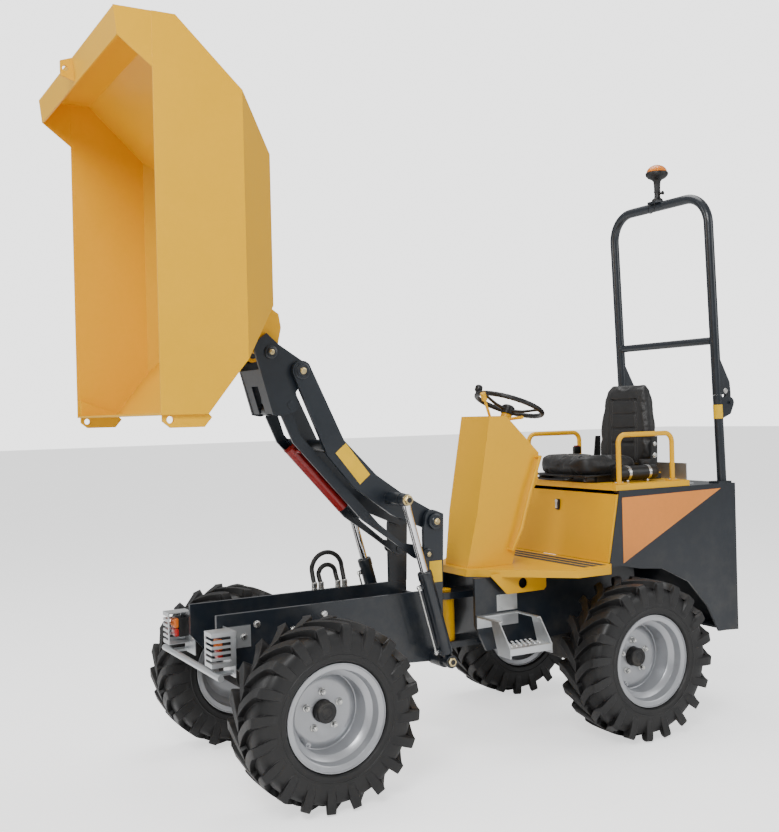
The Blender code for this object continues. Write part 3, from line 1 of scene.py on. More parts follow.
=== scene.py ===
"""High-tip site dumper: finishes, tyres, seat, hoses and small fittings around its fixed frame.

Run as a script. Pieces take their places from the frame's nodes and joints, or stand at places
measured from its front axle.
"""

import sys

import json
import math
import random

import bmesh
import bpy
from bpy.props import FloatProperty, FloatVectorProperty, IntProperty, PointerProperty
from bpy.types import Operator, Panel, PropertyGroup
from mathutils import Matrix, Vector
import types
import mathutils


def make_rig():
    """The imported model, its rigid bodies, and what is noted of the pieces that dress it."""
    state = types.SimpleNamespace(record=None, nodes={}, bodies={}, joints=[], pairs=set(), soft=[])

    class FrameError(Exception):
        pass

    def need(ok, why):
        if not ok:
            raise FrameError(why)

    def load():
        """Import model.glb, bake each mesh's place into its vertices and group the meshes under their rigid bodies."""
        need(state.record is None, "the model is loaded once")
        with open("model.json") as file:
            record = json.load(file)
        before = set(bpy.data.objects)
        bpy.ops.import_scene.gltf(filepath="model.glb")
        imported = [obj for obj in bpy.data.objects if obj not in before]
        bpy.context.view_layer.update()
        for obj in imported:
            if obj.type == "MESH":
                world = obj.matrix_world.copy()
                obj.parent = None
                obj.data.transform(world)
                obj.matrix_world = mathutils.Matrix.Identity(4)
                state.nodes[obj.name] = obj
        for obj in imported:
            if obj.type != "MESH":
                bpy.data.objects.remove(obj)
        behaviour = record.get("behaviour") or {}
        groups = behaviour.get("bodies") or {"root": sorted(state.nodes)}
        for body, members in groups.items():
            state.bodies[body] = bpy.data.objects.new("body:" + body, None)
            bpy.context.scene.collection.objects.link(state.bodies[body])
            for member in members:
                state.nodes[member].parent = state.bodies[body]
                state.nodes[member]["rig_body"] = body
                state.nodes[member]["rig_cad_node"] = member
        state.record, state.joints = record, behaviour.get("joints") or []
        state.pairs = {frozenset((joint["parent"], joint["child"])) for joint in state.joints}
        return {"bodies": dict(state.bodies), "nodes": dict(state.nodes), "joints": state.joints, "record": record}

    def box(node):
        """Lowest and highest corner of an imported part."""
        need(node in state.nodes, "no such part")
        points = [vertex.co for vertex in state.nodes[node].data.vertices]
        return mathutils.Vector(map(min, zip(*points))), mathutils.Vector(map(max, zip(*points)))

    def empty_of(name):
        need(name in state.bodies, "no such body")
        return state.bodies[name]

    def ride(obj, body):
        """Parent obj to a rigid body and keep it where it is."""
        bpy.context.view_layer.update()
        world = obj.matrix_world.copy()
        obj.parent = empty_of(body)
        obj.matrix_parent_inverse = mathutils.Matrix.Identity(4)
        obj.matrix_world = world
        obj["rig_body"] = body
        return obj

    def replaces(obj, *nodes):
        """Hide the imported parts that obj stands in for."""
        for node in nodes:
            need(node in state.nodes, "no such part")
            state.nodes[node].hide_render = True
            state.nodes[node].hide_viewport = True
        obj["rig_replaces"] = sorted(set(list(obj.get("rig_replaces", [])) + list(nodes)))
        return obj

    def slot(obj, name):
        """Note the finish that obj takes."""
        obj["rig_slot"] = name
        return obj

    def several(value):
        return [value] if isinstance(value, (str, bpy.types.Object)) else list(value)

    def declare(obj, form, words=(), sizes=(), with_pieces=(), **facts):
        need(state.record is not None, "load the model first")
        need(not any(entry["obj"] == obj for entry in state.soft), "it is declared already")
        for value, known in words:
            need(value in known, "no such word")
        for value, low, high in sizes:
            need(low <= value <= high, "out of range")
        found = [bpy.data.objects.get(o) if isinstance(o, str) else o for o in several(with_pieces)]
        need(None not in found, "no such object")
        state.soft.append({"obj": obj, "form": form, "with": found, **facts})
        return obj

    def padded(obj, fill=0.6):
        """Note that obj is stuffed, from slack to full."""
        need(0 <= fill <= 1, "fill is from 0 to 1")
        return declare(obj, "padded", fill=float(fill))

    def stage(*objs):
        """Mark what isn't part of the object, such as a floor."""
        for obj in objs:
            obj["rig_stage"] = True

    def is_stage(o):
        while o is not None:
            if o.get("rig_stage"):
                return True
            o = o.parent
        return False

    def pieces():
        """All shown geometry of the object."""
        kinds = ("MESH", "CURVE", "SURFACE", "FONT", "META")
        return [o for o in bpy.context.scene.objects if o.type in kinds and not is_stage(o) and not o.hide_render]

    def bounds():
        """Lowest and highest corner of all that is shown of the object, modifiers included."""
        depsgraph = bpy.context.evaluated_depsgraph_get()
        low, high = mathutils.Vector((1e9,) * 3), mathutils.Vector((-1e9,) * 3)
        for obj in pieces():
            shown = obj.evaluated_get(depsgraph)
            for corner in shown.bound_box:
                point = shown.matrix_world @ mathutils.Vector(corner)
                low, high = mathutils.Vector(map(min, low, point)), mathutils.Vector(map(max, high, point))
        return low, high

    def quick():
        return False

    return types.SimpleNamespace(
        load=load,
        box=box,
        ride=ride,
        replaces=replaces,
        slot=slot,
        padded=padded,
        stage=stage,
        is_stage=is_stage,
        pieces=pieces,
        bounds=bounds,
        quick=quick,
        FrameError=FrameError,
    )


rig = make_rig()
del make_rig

bl_info = {
    "name": "Site Dumper",
    "version": (1, 0, 0),
    "blender": (4, 5, 0),
    "location": "View3D > Sidebar > Dumper",
    "description": "Builds the visible pieces and finishes of a high-tip site dumper around its frame",
    "category": "Object",
}

for leftover in list(bpy.data.objects):
    bpy.data.objects.remove(leftover)

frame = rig.load()
CAD_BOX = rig.bounds()
NODES = frame["nodes"]
PIVOTS = {joint["name"]: Vector(joint["pos_m"]) for joint in frame["joints"] if "pos_m" in joint}

AXLE_Y = PIVOTS["front_left_roll"].y  # lengths along the machine are taken from the front axle
X_AXIS, Y_AXIS, Z_AXIS = Vector((1, 0, 0)), Vector((0, 1, 0)), Vector((0, 0, 1))
SIDES = (("left", 1), ("right", -1))


def at(x, y, z):
    """A place given across, behind the front axle, and above the ground."""
    return Vector((x, AXLE_Y + y, z))


# ---- Sizes and colours that a user would change --------------------------------


def length(label, note, default):
    return FloatProperty(name=label, description=note, default=default, min=0.0, unit="LENGTH",
        subtype="DISTANCE")


def colour(label, note, red, green, blue):
    return FloatVectorProperty(name=label, description=note, default=(red, green, blue, 1.0), size=4,
        min=0.0, max=1.0, subtype="COLOR")


class DumperSizes(PropertyGroup):
    """Sizes and counts that a user would change."""

    round_steps: IntProperty(name="Round Steps", description="Steps round a wheel", default=96, min=24,
        max=192)
    lug_count: IntProperty(name="Lugs", description="Tread lugs on each half of a tyre", default=20, min=12,
        max=28)
    lug_width: length("Lug Width", "Width of a tread lug at its top", 0.033)
    nut_count: IntProperty(name="Wheel Nuts", description="Nuts that hold each wheel disc", default=5,
        min=4, max=8)
    cushion_swell: length("Cushion Swell", "How far the seat padding may swell", 0.012)


class DumperColours(PropertyGroup):
    """Colours of the finishes, as linear values."""

    yellow: colour("Yellow Paint", "Skip, cowl, seat base and footplate", 0.8, 0.415, 0.0)
    slate: colour("Slate Paint", "Frames, masts, boom and hoop", 0.006, 0.01, 0.016)
    cast: colour("Cast Black", "Axles and engine block", 0.012, 0.012, 0.013)
    zinc: colour("Zinc", "Galvanised brackets, step and back panel", 0.6, 0.61, 0.61)
    silver: colour("Wheel Silver", "Wheel rims", 0.42, 0.43, 0.45)
    rubber: colour("Rubber", "Tyres", 0.005, 0.005, 0.0054)
    vinyl: colour("Seat Vinyl", "Seat cushion and backrest", 0.0055, 0.0055, 0.006)
    plastic: colour("Black Plastic", "Hand wheel, beacon dish and document tube", 0.0055, 0.0055, 0.006)
    red: colour("Safety Red", "Stowed strut and buckle", 0.25, 0.006, 0.005)
    amber: colour("Amber", "Beacon dome", 1.0, 0.3, 0.01)
    decal: colour("Side Band", "Blank band on the rear body", 0.8, 0.26, 0.03)
    label: colour("Label Yellow", "Blank labels", 0.8, 0.48, 0.0)


# ---- Shader groups -------------------------------------------------------------


def new_group(name, inputs, outputs):
    """An empty shader group with named sockets, and its two end nodes."""
    tree = bpy.data.node_groups.new(name, "ShaderNodeTree")
    for label, value in inputs:
        kind = "NodeSocketColor" if isinstance(value, tuple) else "NodeSocketFloat"
        tree.interface.new_socket(label, in_out="INPUT", socket_type=kind).default_value = value
    for label, kind in outputs:
        tree.interface.new_socket(label, in_out="OUTPUT", socket_type=f"NodeSocket{kind}")
    return Sketch(tree), tree.nodes.new("NodeGroupInput"), tree.nodes.new("NodeGroupOutput")


class Sketch:
    """Short ways to place and join the nodes of one tree."""

    def __init__(self, tree):
        self.tree = tree

    def node(self, kind, **values):
        made = self.tree.nodes.new(kind)
        for key, value in values.items():
            setattr(made, key, value)
        return made

    def join(self, source, target):
        self.tree.links.new(source, target)

    def feed(self, target, value):
        """Links a socket, or sets a plain value on it."""
        if isinstance(value, bpy.types.NodeSocket):
            self.join(value, target)
        else:
            target.default_value = value

    def math(self, operation, first, second=0.0, clamp=False):
        made = self.node("ShaderNodeMath", operation=operation, use_clamp=clamp)
        self.feed(made.inputs[0], first)
        self.feed(made.inputs[1], second)
        return made.outputs[0]

    def blend(self, factor, first, second):
        made = self.node("ShaderNodeMix", data_type="RGBA")
        self.feed(made.inputs[0], factor)
        self.feed(made.inputs[6], first)
        self.feed(made.inputs[7], second)
        return made.outputs[2]

    def spread(self, value, low, high, to_low=0.0, to_high=1.0):
        made = self.node("ShaderNodeMapRange")
        for socket, given in zip(made.inputs, (value, low, high, to_low, to_high)):
            self.feed(socket, given)
        return made.outputs[0]

    def place(self):
        return self.node("ShaderNodeTexCoord").outputs["Object"]

    def noise(self, scale, detail, rough=0.5):
        made = self.node("ShaderNodeTexNoise")
        self.settings(made, vector=self.place(), scale=scale, detail=detail, roughness=rough)
        return made.outputs[0]

    def cells(self, scale, feature="F1", output="Distance", where=None):
        made = self.node("ShaderNodeTexVoronoi", feature=feature)
        self.settings(made, vector=where or self.place(), scale=scale)
        return made.outputs[output]

    def settings(self, node, **given):
        """Links or sets a node's inputs, each named by its label in small letters."""
        for key, value in given.items():
            self.feed(node.inputs[key.replace("_", " ").title().replace("Ior", "IOR")], value)

    def group(self, tree, **values):
        made = self.node("ShaderNodeGroup", node_tree=bpy.data.node_groups[tree])
        self.settings(made, **values)
        return made.outputs


def build_shader_groups():
    """The four effects that the finishes share."""
    sketch, given, result = new_group(
        "colour_drift", (("Base", (0.5, 0.5, 0.5, 1.0)), ("Depth", 0.1), ("Size", 3.0)),
        (("Colour", "Color"), ("Tone", "Float")),
    )
    size = given.outputs["Size"]
    broad = sketch.math("MULTIPLY", sketch.noise(size, 4.0, 0.55), 0.7)
    near = sketch.math("MULTIPLY", sketch.noise(sketch.math("MULTIPLY", size, 17.0), 2.0), 0.3)
    tone = sketch.spread(sketch.math("ADD", broad, near), 0.35, 0.65)
    lift = sketch.math("MULTIPLY", sketch.math("SUBTRACT", tone, 0.5), given.outputs["Depth"])
    shade = sketch.node("ShaderNodeHueSaturation")
    sketch.settings(shade, value=sketch.math("ADD", lift, 1.0), color=given.outputs["Base"])
    sketch.settings(result, colour=shade.outputs[0], tone=tone)

    # Edge mask, broken by noise, and rounded normal; the edge colour it lays is partly rubbed wear and partly painted
    # highlight.
    sketch, given, result = new_group(
        "edge_wear", (("Radius", 0.002), ("Amount", 0.5)), (("Edge", "Float"), ("Normal", "Vector")),
    )
    rounded = sketch.node("ShaderNodeBevel", samples=4)
    sketch.settings(rounded, radius=given.outputs["Radius"])
    facing = sketch.node("ShaderNodeVectorMath", operation="DOT_PRODUCT")
    sketch.join(rounded.outputs[0], facing.inputs[0])
    sketch.join(sketch.node("ShaderNodeNewGeometry").outputs["Normal"], facing.inputs[1])
    turn = sketch.spread(facing.outputs["Value"], 0.995, 0.85)
    broken = sketch.spread(sketch.noise(70.0, 4.0, 0.6), 0.42, 0.62)
    edge = sketch.math("MULTIPLY", sketch.math("MULTIPLY", turn, broken), given.outputs["Amount"],
        clamp=True)
    sketch.settings(result, edge=edge, normal=rounded.outputs[0])

    sketch, given, result = new_group("fine_grain", (("Size", 900.0), ("Waves", 30.0)),
        (("Height", "Float"),))
    grain, waves = [sketch.math("MULTIPLY", sketch.noise(given.outputs[name], 2.0), share)
        for name, share in (("Size", 0.25), ("Waves", 0.75))]
    sketch.settings(result, height=sketch.math("ADD", grain, waves))

    sketch, given, result = new_group("surface_dust", (("Amount", 0.2), ("Height", 1.0)),
        (("Dust", "Float"),))
    spot = sketch.node("ShaderNodeSeparateXYZ")
    sketch.join(sketch.place(), spot.inputs[0])
    rise = sketch.math("DIVIDE", spot.outputs["Z"], given.outputs["Height"])
    low = sketch.math("SUBTRACT", 1.0, rise, clamp=True)
    patches = sketch.spread(sketch.noise(9.0, 6.0, 0.65), 0.45, 0.75)
    dust = sketch.math("MULTIPLY", sketch.math("MULTIPLY", patches, low), given.outputs["Amount"],
        clamp=True)
    sketch.settings(result, dust=dust)


# ---- Materials -----------------------------------------------------------------


def new_material(name, **values):
    """A material with only a shader in its tree, and plain values on the shader's own sockets."""
    made = bpy.data.materials.new(name)
    made.use_nodes = True
    made.node_tree.nodes.clear()
    sketch = Sketch(made.node_tree)
    shader = sketch.node("ShaderNodeBsdfPrincipled")
    sketch.join(shader.outputs[0], sketch.node("ShaderNodeOutputMaterial").inputs[0])
    sketch.settings(shader, **values)
    return sketch, shader


def relief(sketch, shader, height, strength, distance, normal=None):
    """Bumps a shader by a height, on top of a rounded normal if there is one."""
    bump = sketch.node("ShaderNodeBump")
    sketch.settings(bump, height=height, strength=strength, distance=distance)
    if normal:
        sketch.settings(bump, normal=normal)
    sketch.settings(shader, normal=bump.outputs[0])


DUST = (0.3, 0.26, 0.2, 1.0)


def coated(name, base, roughness, drift=0.08, size=2.5, radius=0.002, wear=0.35, bare=(0.3, 0.3, 0.3, 1.0),
        dust=0.15, dust_height=1.2, waves=30.0, bump=0.05, **values):
    """Sprayed or moulded finish: drifting colour, rounded edges in an edge colour that is partly rubbed wear and
    partly painted highlight, a fine skin and dust.
    """
    sketch, shader = new_material(name, **values)
    drifted = sketch.group("colour_drift", base=tuple(base), depth=drift, size=size)
    edges = sketch.group("edge_wear", radius=radius, amount=wear)
    dusty = sketch.group("surface_dust", amount=dust, height=dust_height)
    # Edge colour along sharp edges: rubbed wear, and a painted highlight where the edge colour is a lighter shade of
    # the paint.
    rubbed = sketch.blend(edges["Edge"], drifted["Colour"], bare)
    rough = sketch.spread(drifted["Tone"], 0.0, 1.0, roughness - 0.05, roughness + 0.05)
    dull = sketch.math("ADD", rough, sketch.math("MULTIPLY", dusty["Dust"], 0.4), clamp=True)
    sketch.settings(shader, base_color=sketch.blend(dusty["Dust"], rubbed, DUST), roughness=dull)
    skin = sketch.group("fine_grain", waves=waves)
    relief(sketch, shader, skin["Height"], bump, 0.002, edges["Normal"])


def spangled(name, base):
    """Hot-dip zinc: flat crystals of slightly different greys."""
    sketch, shader = new_material(name, metallic=0.85)
    split = sketch.node("ShaderNodeSeparateColor")
    sketch.join(sketch.cells(45.0, output="Color"), split.inputs[0])
    shade = sketch.spread(split.outputs[0], 0.0, 1.0, 0.72, 1.08)
    tinted = sketch.node("ShaderNodeHueSaturation")
    sketch.settings(tinted, color=tuple(base), value=shade)
    drifted = sketch.group("colour_drift", base=tinted.outputs[0], depth=0.25, size=6.0)
    dusty = sketch.group("surface_dust", amount=0.25, height=1.5)
    sketch.settings(shader, base_color=sketch.blend(dusty["Dust"], drifted["Colour"], DUST),
        roughness=sketch.spread(split.outputs[1], 0.0, 1.0, 0.32, 0.52))
    edges = sketch.group("edge_wear", radius=0.0012, amount=0.0)
    relief(sketch, shader, split.outputs[2], 0.06, 0.001, edges["Normal"])


def bright(name, base, roughness, metallic=1.0):
    """Turned or plated metal with faint drawing lines."""
    sketch, shader = new_material(name, metallic=metallic)
    drifted = sketch.group("colour_drift", base=tuple(base), depth=0.15, size=14.0)
    rough = sketch.spread(drifted["Tone"], 0.0, 1.0, roughness * 0.7, roughness * 1.4)
    sketch.settings(shader, base_color=drifted["Colour"], roughness=rough)
    edges = sketch.group("edge_wear", radius=0.0008, amount=0.0)
    skin = sketch.group("fine_grain", size=1500.0, waves=300.0)
    relief(sketch, shader, skin["Height"], 0.05, 0.0005, edges["Normal"])


def rubber(name, base, dust, dust_height):
    """Moulded rubber: blooming greys in patches, a pebbled skin and dust low down."""
    sketch, shader = new_material(name)
    drifted = sketch.group("colour_drift", base=tuple(base), depth=0.9, size=7.0)
    dusty = sketch.group("surface_dust", amount=dust, height=dust_height)
    edges = sketch.group("edge_wear", radius=0.003, amount=0.5)
    # Lighter grey along lug and rim edges: partly scuffing, partly painted highlight standing in for sheen.
    rubbed = sketch.blend(edges["Edge"], drifted["Colour"], (0.03, 0.029, 0.028, 1.0))
    sketch.settings(shader, base_color=sketch.blend(dusty["Dust"], rubbed, (0.07, 0.06, 0.05, 1.0)),
        roughness=sketch.spread(drifted["Tone"], 0.0, 1.0, 0.38, 0.62))
    skin = sketch.group("fine_grain", size=700.0, waves=120.0)
    relief(sketch, shader, skin["Height"], 0.35, 0.001, edges["Normal"])


def leathery(name, base):
    """Embossed vinyl: small irregular pebbles that meet in fine creases."""
    sketch, shader = new_material(name, sheen_weight=0.15, sheen_roughness=0.4)
    drifted = sketch.group("colour_drift", base=tuple(base), depth=0.35, size=9.0)
    bent = sketch.node("ShaderNodeVectorMath", operation="MULTIPLY_ADD")
    sketch.join(sketch.noise(60.0, 2.0), bent.inputs[0])
    bent.inputs[1].default_value = (0.004, 0.004, 0.004)
    sketch.join(sketch.place(), bent.inputs[2])
    crease = sketch.spread(sketch.cells(420.0, "DISTANCE_TO_EDGE", where=bent.outputs[0]), 0.0, 0.25)
    sketch.settings(shader, base_color=drifted["Colour"], roughness=sketch.spread(crease, 0.0, 1.0, 0.55,
        0.38))
    relief(sketch, shader, crease, 0.25, 0.0006)


def lens(name, base, roughness, weight, ribs):
    """Clear moulded plastic with ribs inside."""
    sketch, shader = new_material(name, transmission_weight=weight, ior=1.45, coat_weight=0.5)
    drifted = sketch.group("colour_drift", base=tuple(base), depth=0.25, size=30.0)
    rough = sketch.spread(drifted["Tone"], 0.0, 1.0, roughness * 0.6, roughness * 1.5)
    sketch.settings(shader, base_color=drifted["Colour"], roughness=rough)
    relief(sketch, shader, sketch.cells(ribs), 0.5, 0.002)


def gritted(name, base):
    """Mineral-coated strip for boots: sharp dark grains."""
    sketch, shader = new_material(name)
    grit = sketch.cells(900.0)
    drifted = sketch.group("colour_drift", base=tuple(base), depth=0.8, size=20.0)
    tips = sketch.blend(sketch.spread(grit, 0.0, 0.5), drifted["Colour"], (0.05, 0.05, 0.055, 1.0))
    sketch.settings(shader, base_color=tips, roughness=sketch.spread(grit, 0.0, 0.6, 0.65, 0.95))
    relief(sketch, shader, grit, 0.6, 0.001)


def build_finishes(tint):
    """Every finish on the machine, by name."""
    # The yellow's edge colour is a lighter yellow, a painted highlight; the slate, cast and plastic edges take lighter
    # greys, partly rubbed wear and partly painted highlight.
    coated("yellow_paint", tint.yellow, 0.4, drift=0.05, wear=0.25, bare=(0.86, 0.5, 0.06, 1.0), dust=0.08,
        specular_ior_level=0.3, coat_weight=0.1, coat_roughness=0.1)
    coated("slate_paint", tint.slate, 0.36, drift=0.35, wear=0.3, bare=(0.1, 0.11, 0.12, 1.0), dust=0.14,
        coat_weight=0.3, coat_roughness=0.12)
    coated("cast_black", tint.cast, 0.55, drift=0.6, size=6.0, wear=0.5, bare=(0.1, 0.09, 0.08, 1.0),
        dust=0.35, waves=220.0, bump=0.35)
    coated("wheel_silver", tint.silver, 0.33, drift=0.1, size=8.0, wear=0.0, dust=0.12, dust_height=0.7,
        metallic=0.55, bump=0.04)
    coated("safety_red", tint.red, 0.38, drift=0.25, wear=0.4, coat_weight=0.25)
    coated("black_plastic", tint.plastic, 0.42, drift=0.4, size=12.0, radius=0.001, wear=0.15,
        bare=(0.06, 0.06, 0.06, 1.0), dust=0.0, waves=500.0, bump=0.1)
    coated("side_band", tint.decal, 0.38, drift=0.1, radius=0.0004, wear=0.0, dust=0.05, bump=0.02,
        coat_weight=0.3)
    coated("label_yellow", tint.label, 0.4, drift=0.12, size=20.0, radius=0.0003, wear=0.0, dust=0.05,
        bump=0.02)
    spangled("galvanised", tint.zinc)
    bright("chrome", (0.78, 0.79, 0.8, 1.0), 0.1)
    bright("bright_zinc", (0.66, 0.66, 0.64, 1.0), 0.28)
    bright("yellow_zinc", (0.62, 0.5, 0.26, 1.0), 0.3)
    bright("serial_plate", (0.62, 0.63, 0.62, 1.0), 0.34, 0.8)
    rubber("tyre_rubber", tint.rubber, 0.12, 0.9)
    rubber("hose_rubber", tint.rubber, 0.1, 1.5)
    leathery("seat_vinyl", tint.vinyl)
    lens("amber_dome", tint.amber, 0.1, 0.35, 260.0)
    lens("lamp_orange", (0.95, 0.22, 0.02, 1.0), 0.12, 0.25, 300.0)
    lens("lamp_red", (0.6, 0.02, 0.015, 1.0), 0.12, 0.25, 300.0)
    gritted("boot_grip", (0.012, 0.012, 0.013, 1.0))


# ---- Shapes --------------------------------------------------------------------


HEXAGON = 6


def mm(table):
    """Pairs of lengths, from a table in millimetres with a comma between pairs."""
    return [tuple(float(f"{size}e-3") for size in pair.split()) for pair in table.split(",")]


def turns(count):
    """Equal angles round a circle."""
    return [math.tau * step / count for step in range(count)]


def circle(centre, radius, count, across=Y_AXIS, up=Z_AXIS):
    """Places round a circle, the first of them again at the end."""
    return [centre + (across * math.cos(turn) + up * math.sin(turn)) * radius
        for turn in (math.tau * step / count for step in range(count + 1))]


def ramp(value, width):
    """Rises from nought to one over a width."""
    return min(1.0, max(0.0, value / width))


def square_to(axis):
    """Two unit directions square to an axis and to each other."""
    axis = axis.normalized()
    helper = Z_AXIS if abs(axis.z) < 0.9 else Y_AXIS
    across = helper.cross(axis).normalized()
    return across, axis.cross(across)


def skin(shape, rings, closed_along=False, finish=0):
    """Faces between rings of vertices; a ring of one vertex is a point."""
    pairs = list(zip(rings, rings[1:]))
    if closed_along:
        pairs.append((rings[-1], rings[0]))
    for first, second in pairs:
        count = max(len(first), len(second))
        for step in range(count):
            following = (step + 1) % count
            corners = []
            for ring, order in ((first, (step, following)), (second, (following, step))):
                for index in order:
                    corner = ring[index % len(ring)]
                    if corner not in corners:
                        corners.append(corner)
            if len(corners) > 2:
                shape.faces.new(corners).material_index = finish
    if not closed_along:
        for ring in (rings[0], rings[-1]):
            if len(ring) > 2:
                shape.faces.new(ring).material_index = finish


def lathe(shape, profile, origin, axis, steps=48, closed=False, finish=0):
    """Turns a profile of (along, radius) about an axis: a ring if closed, else a body with flat ends."""
    axis = axis.normalized()
    if not closed:
        ends = [[(along, 0.0)] if radius else [] for along, radius in (profile[0], profile[-1])]
        profile = ends[0] + profile + ends[1]
    across, up = square_to(axis)
    rings = []
    for along, radius in profile:
        middle = origin + axis * along
        if radius < 1e-6:
            rings.append([shape.verts.new(middle)])
            continue
        rings.append([
            shape.verts.new(middle + (across * math.cos(turn) + up * math.sin(turn)) * radius)
            for turn in turns(steps)
        ])
    skin(shape, rings, closed_along=closed, finish=finish)


def tube(shape, path, radius, sides=20, finish=0, loop=False, flat=1.0):
    """Sweeps a circle, or an oval where flat is under one, along a path without twisting it."""
    radii = radius if isinstance(radius, (list, tuple)) else [radius] * len(path)
    count = len(path)
    rings, across = [], None
    for index, point in enumerate(path):
        before = path[index - 1] if index or loop else point
        after = path[(index + 1) % count] if index < count - 1 or loop else point
        way = (after - before).normalized()
        if across is None:
            across = square_to(way)[0]
        across = (across - way * across.dot(way)).normalized()
        up = way.cross(across)
        rings.append([
            shape.verts.new(point + (across * math.cos(turn) + up * math.sin(turn) * flat) * radii[index])
            for turn in turns(sides)
        ])
    skin(shape, rings, closed_along=loop, finish=finish)


def prism(shape, outline, start, depth, finish=0):
    """A flat outline of places, pushed out along a depth vector from a start vector."""
    rings = [[shape.verts.new(place + start + depth * end) for place in outline] for end in (0, 1)]
    skin(shape, rings, finish=finish)


def slab(shape, low, high, round_off=0.0, finish=0, segments=2):
    """A block between two corners, with its edges rounded off."""
    low, high = Vector(low), Vector(high)
    low, high = Vector(map(min, low, high)), Vector(map(max, low, high))
    corners = [[shape.verts.new((x, y, z)) for x, y in ((low.x, low.y), (high.x, low.y), (high.x, high.y),
        (low.x, high.y))] for z in (low.z, high.z)]
    made = set(shape.faces)
    skin(shape, corners, finish=finish)
    if round_off:
        faces = [face for face in shape.faces if face not in made]
        edges = list(dict.fromkeys(edge for face in faces for edge in face.edges))
        bmesh.ops.bevel(shape, geom=edges, offset=round_off, segments=segments, profile=0.5, affect="EDGES",
            clamp_overlap=True, material=-1)


def curve_through(points, steps):
    """A smooth path through a few points."""
    points = [Vector(point) for point in points]
    last = len(points) - 1
    path = []
    for index in range(last):
        around = [points[min(max(index + offset, 0), last)] for offset in (-1, 0, 1, 2)]
        for step in range(steps):
            t = step / steps
            path.append(0.5 * (
                2 * around[1] + (around[2] - around[0]) * t
                + (2 * around[0] - 5 * around[1] + 4 * around[2] - around[3]) * t * t
                + (3 * around[1] - around[0] - 3 * around[2] + around[3]) * t ** 3
            ))
    return path + [points[-1]]


def arc(centre, radius, first, last, count=10, plane=(Y_AXIS, Z_AXIS)):
    """Places on an arc in a plane, with angles in degrees."""
    turns = [math.radians(first + (last - first) * step / (count - 1)) for step in range(count)]
    return [centre + plane[0] * radius * math.cos(turn) + plane[1] * radius * math.sin(turn)
        for turn in turns]


def bolt(shape, place, axis, thread, finish=0):
    """A chamfered hexagon head on a washer."""
    axis = axis.normalized()
    head, height = thread * 0.92, thread * 0.68
    base = -0.0008
    lathe(shape, [(base, thread * 1.15), (thread * 0.14, thread * 1.15), (thread * 0.17, thread * 1.08)],
        place, axis, 20, finish=finish)
    foot = base + thread * 0.16
    lathe(shape, [(foot, head), (foot + height * 0.8, head), (foot + height, head * 0.84)], place, axis,
        HEXAGON, finish=finish)


def pin_end(shape, place, axis, radius):
    """A chamfered pin end in a thin collar, with a keeper bolt in its middle."""
    end = 0.0115
    lathe(shape, [(-0.004, radius * 1.55), (0.004, radius * 1.55), (0.0055, radius * 1.42),
        (0.0055, radius * 1.02), (0.009, radius), (end, radius * 0.88)], place, axis, 36)
    bolt(shape, place + axis * end, axis, radius * 0.55, finish=1)


def weld(shape, path, radius, seed):
    """A run of weld: a thin tube whose radius ripples along it."""
    ripple = 0.008
    points = []
    for first, second in zip(path, path[1:]):
        count = max(2, int((second - first).length / ripple))
        points += [first.lerp(second, step / count) for step in range(count)]
    points.append(path[-1])
    draw = random.Random(seed)
    radii = [radius * (0.85 + 0.3 * draw.random()) for _ in points]
    tube(shape, points, radii, 8)


def put(name, data):
    """A new object in the scene."""
    made = bpy.data.objects.new(name, data)
    bpy.context.scene.collection.objects.link(made)
    return made


def body_of(name, shape):
    """An object made from a shape, with its faces turned outward."""
    bmesh.ops.recalc_face_normals(shape, faces=shape.faces)
    mesh = bpy.data.meshes.new(name)
    shape.to_mesh(mesh)
    shape.free()
    return put(name, mesh)


def sizes():
    return bpy.context.scene.dumper_sizes


def finish_of(name):
    return bpy.data.materials[name]


SHARP_ANGLE = math.radians(38.0)


def add_piece(name, shape, body, slot, finishes, stands_for=()):
    """Turns a shape into a piece that rides on a body, with its finishes and the nodes it stands for."""
    piece = body_of(name, shape)
    mesh = piece.data
    mesh.polygons.foreach_set("use_smooth", [True] * len(mesh.polygons))
    mesh.set_sharp_from_angle(angle=SHARP_ANGLE)
    for finish in finishes:
        mesh.materials.append(finish_of(finish))
    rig.ride(piece, body)
    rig.slot(piece, slot)
    if stands_for:
        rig.replaces(piece, *stands_for)
    return piece


def round_over(piece, width, angle):
    """Rounds a piece's sharp edges in its mesh."""
    bevel = piece.modifiers.new("round", "BEVEL")
    bevel.width = width
    bevel.segments = 2
    bevel.limit_method = "ANGLE"
    bevel.angle_limit = math.radians(angle)
    bevel.harden_normals = False


# ---- Stage ---------------------------------------------------------------------


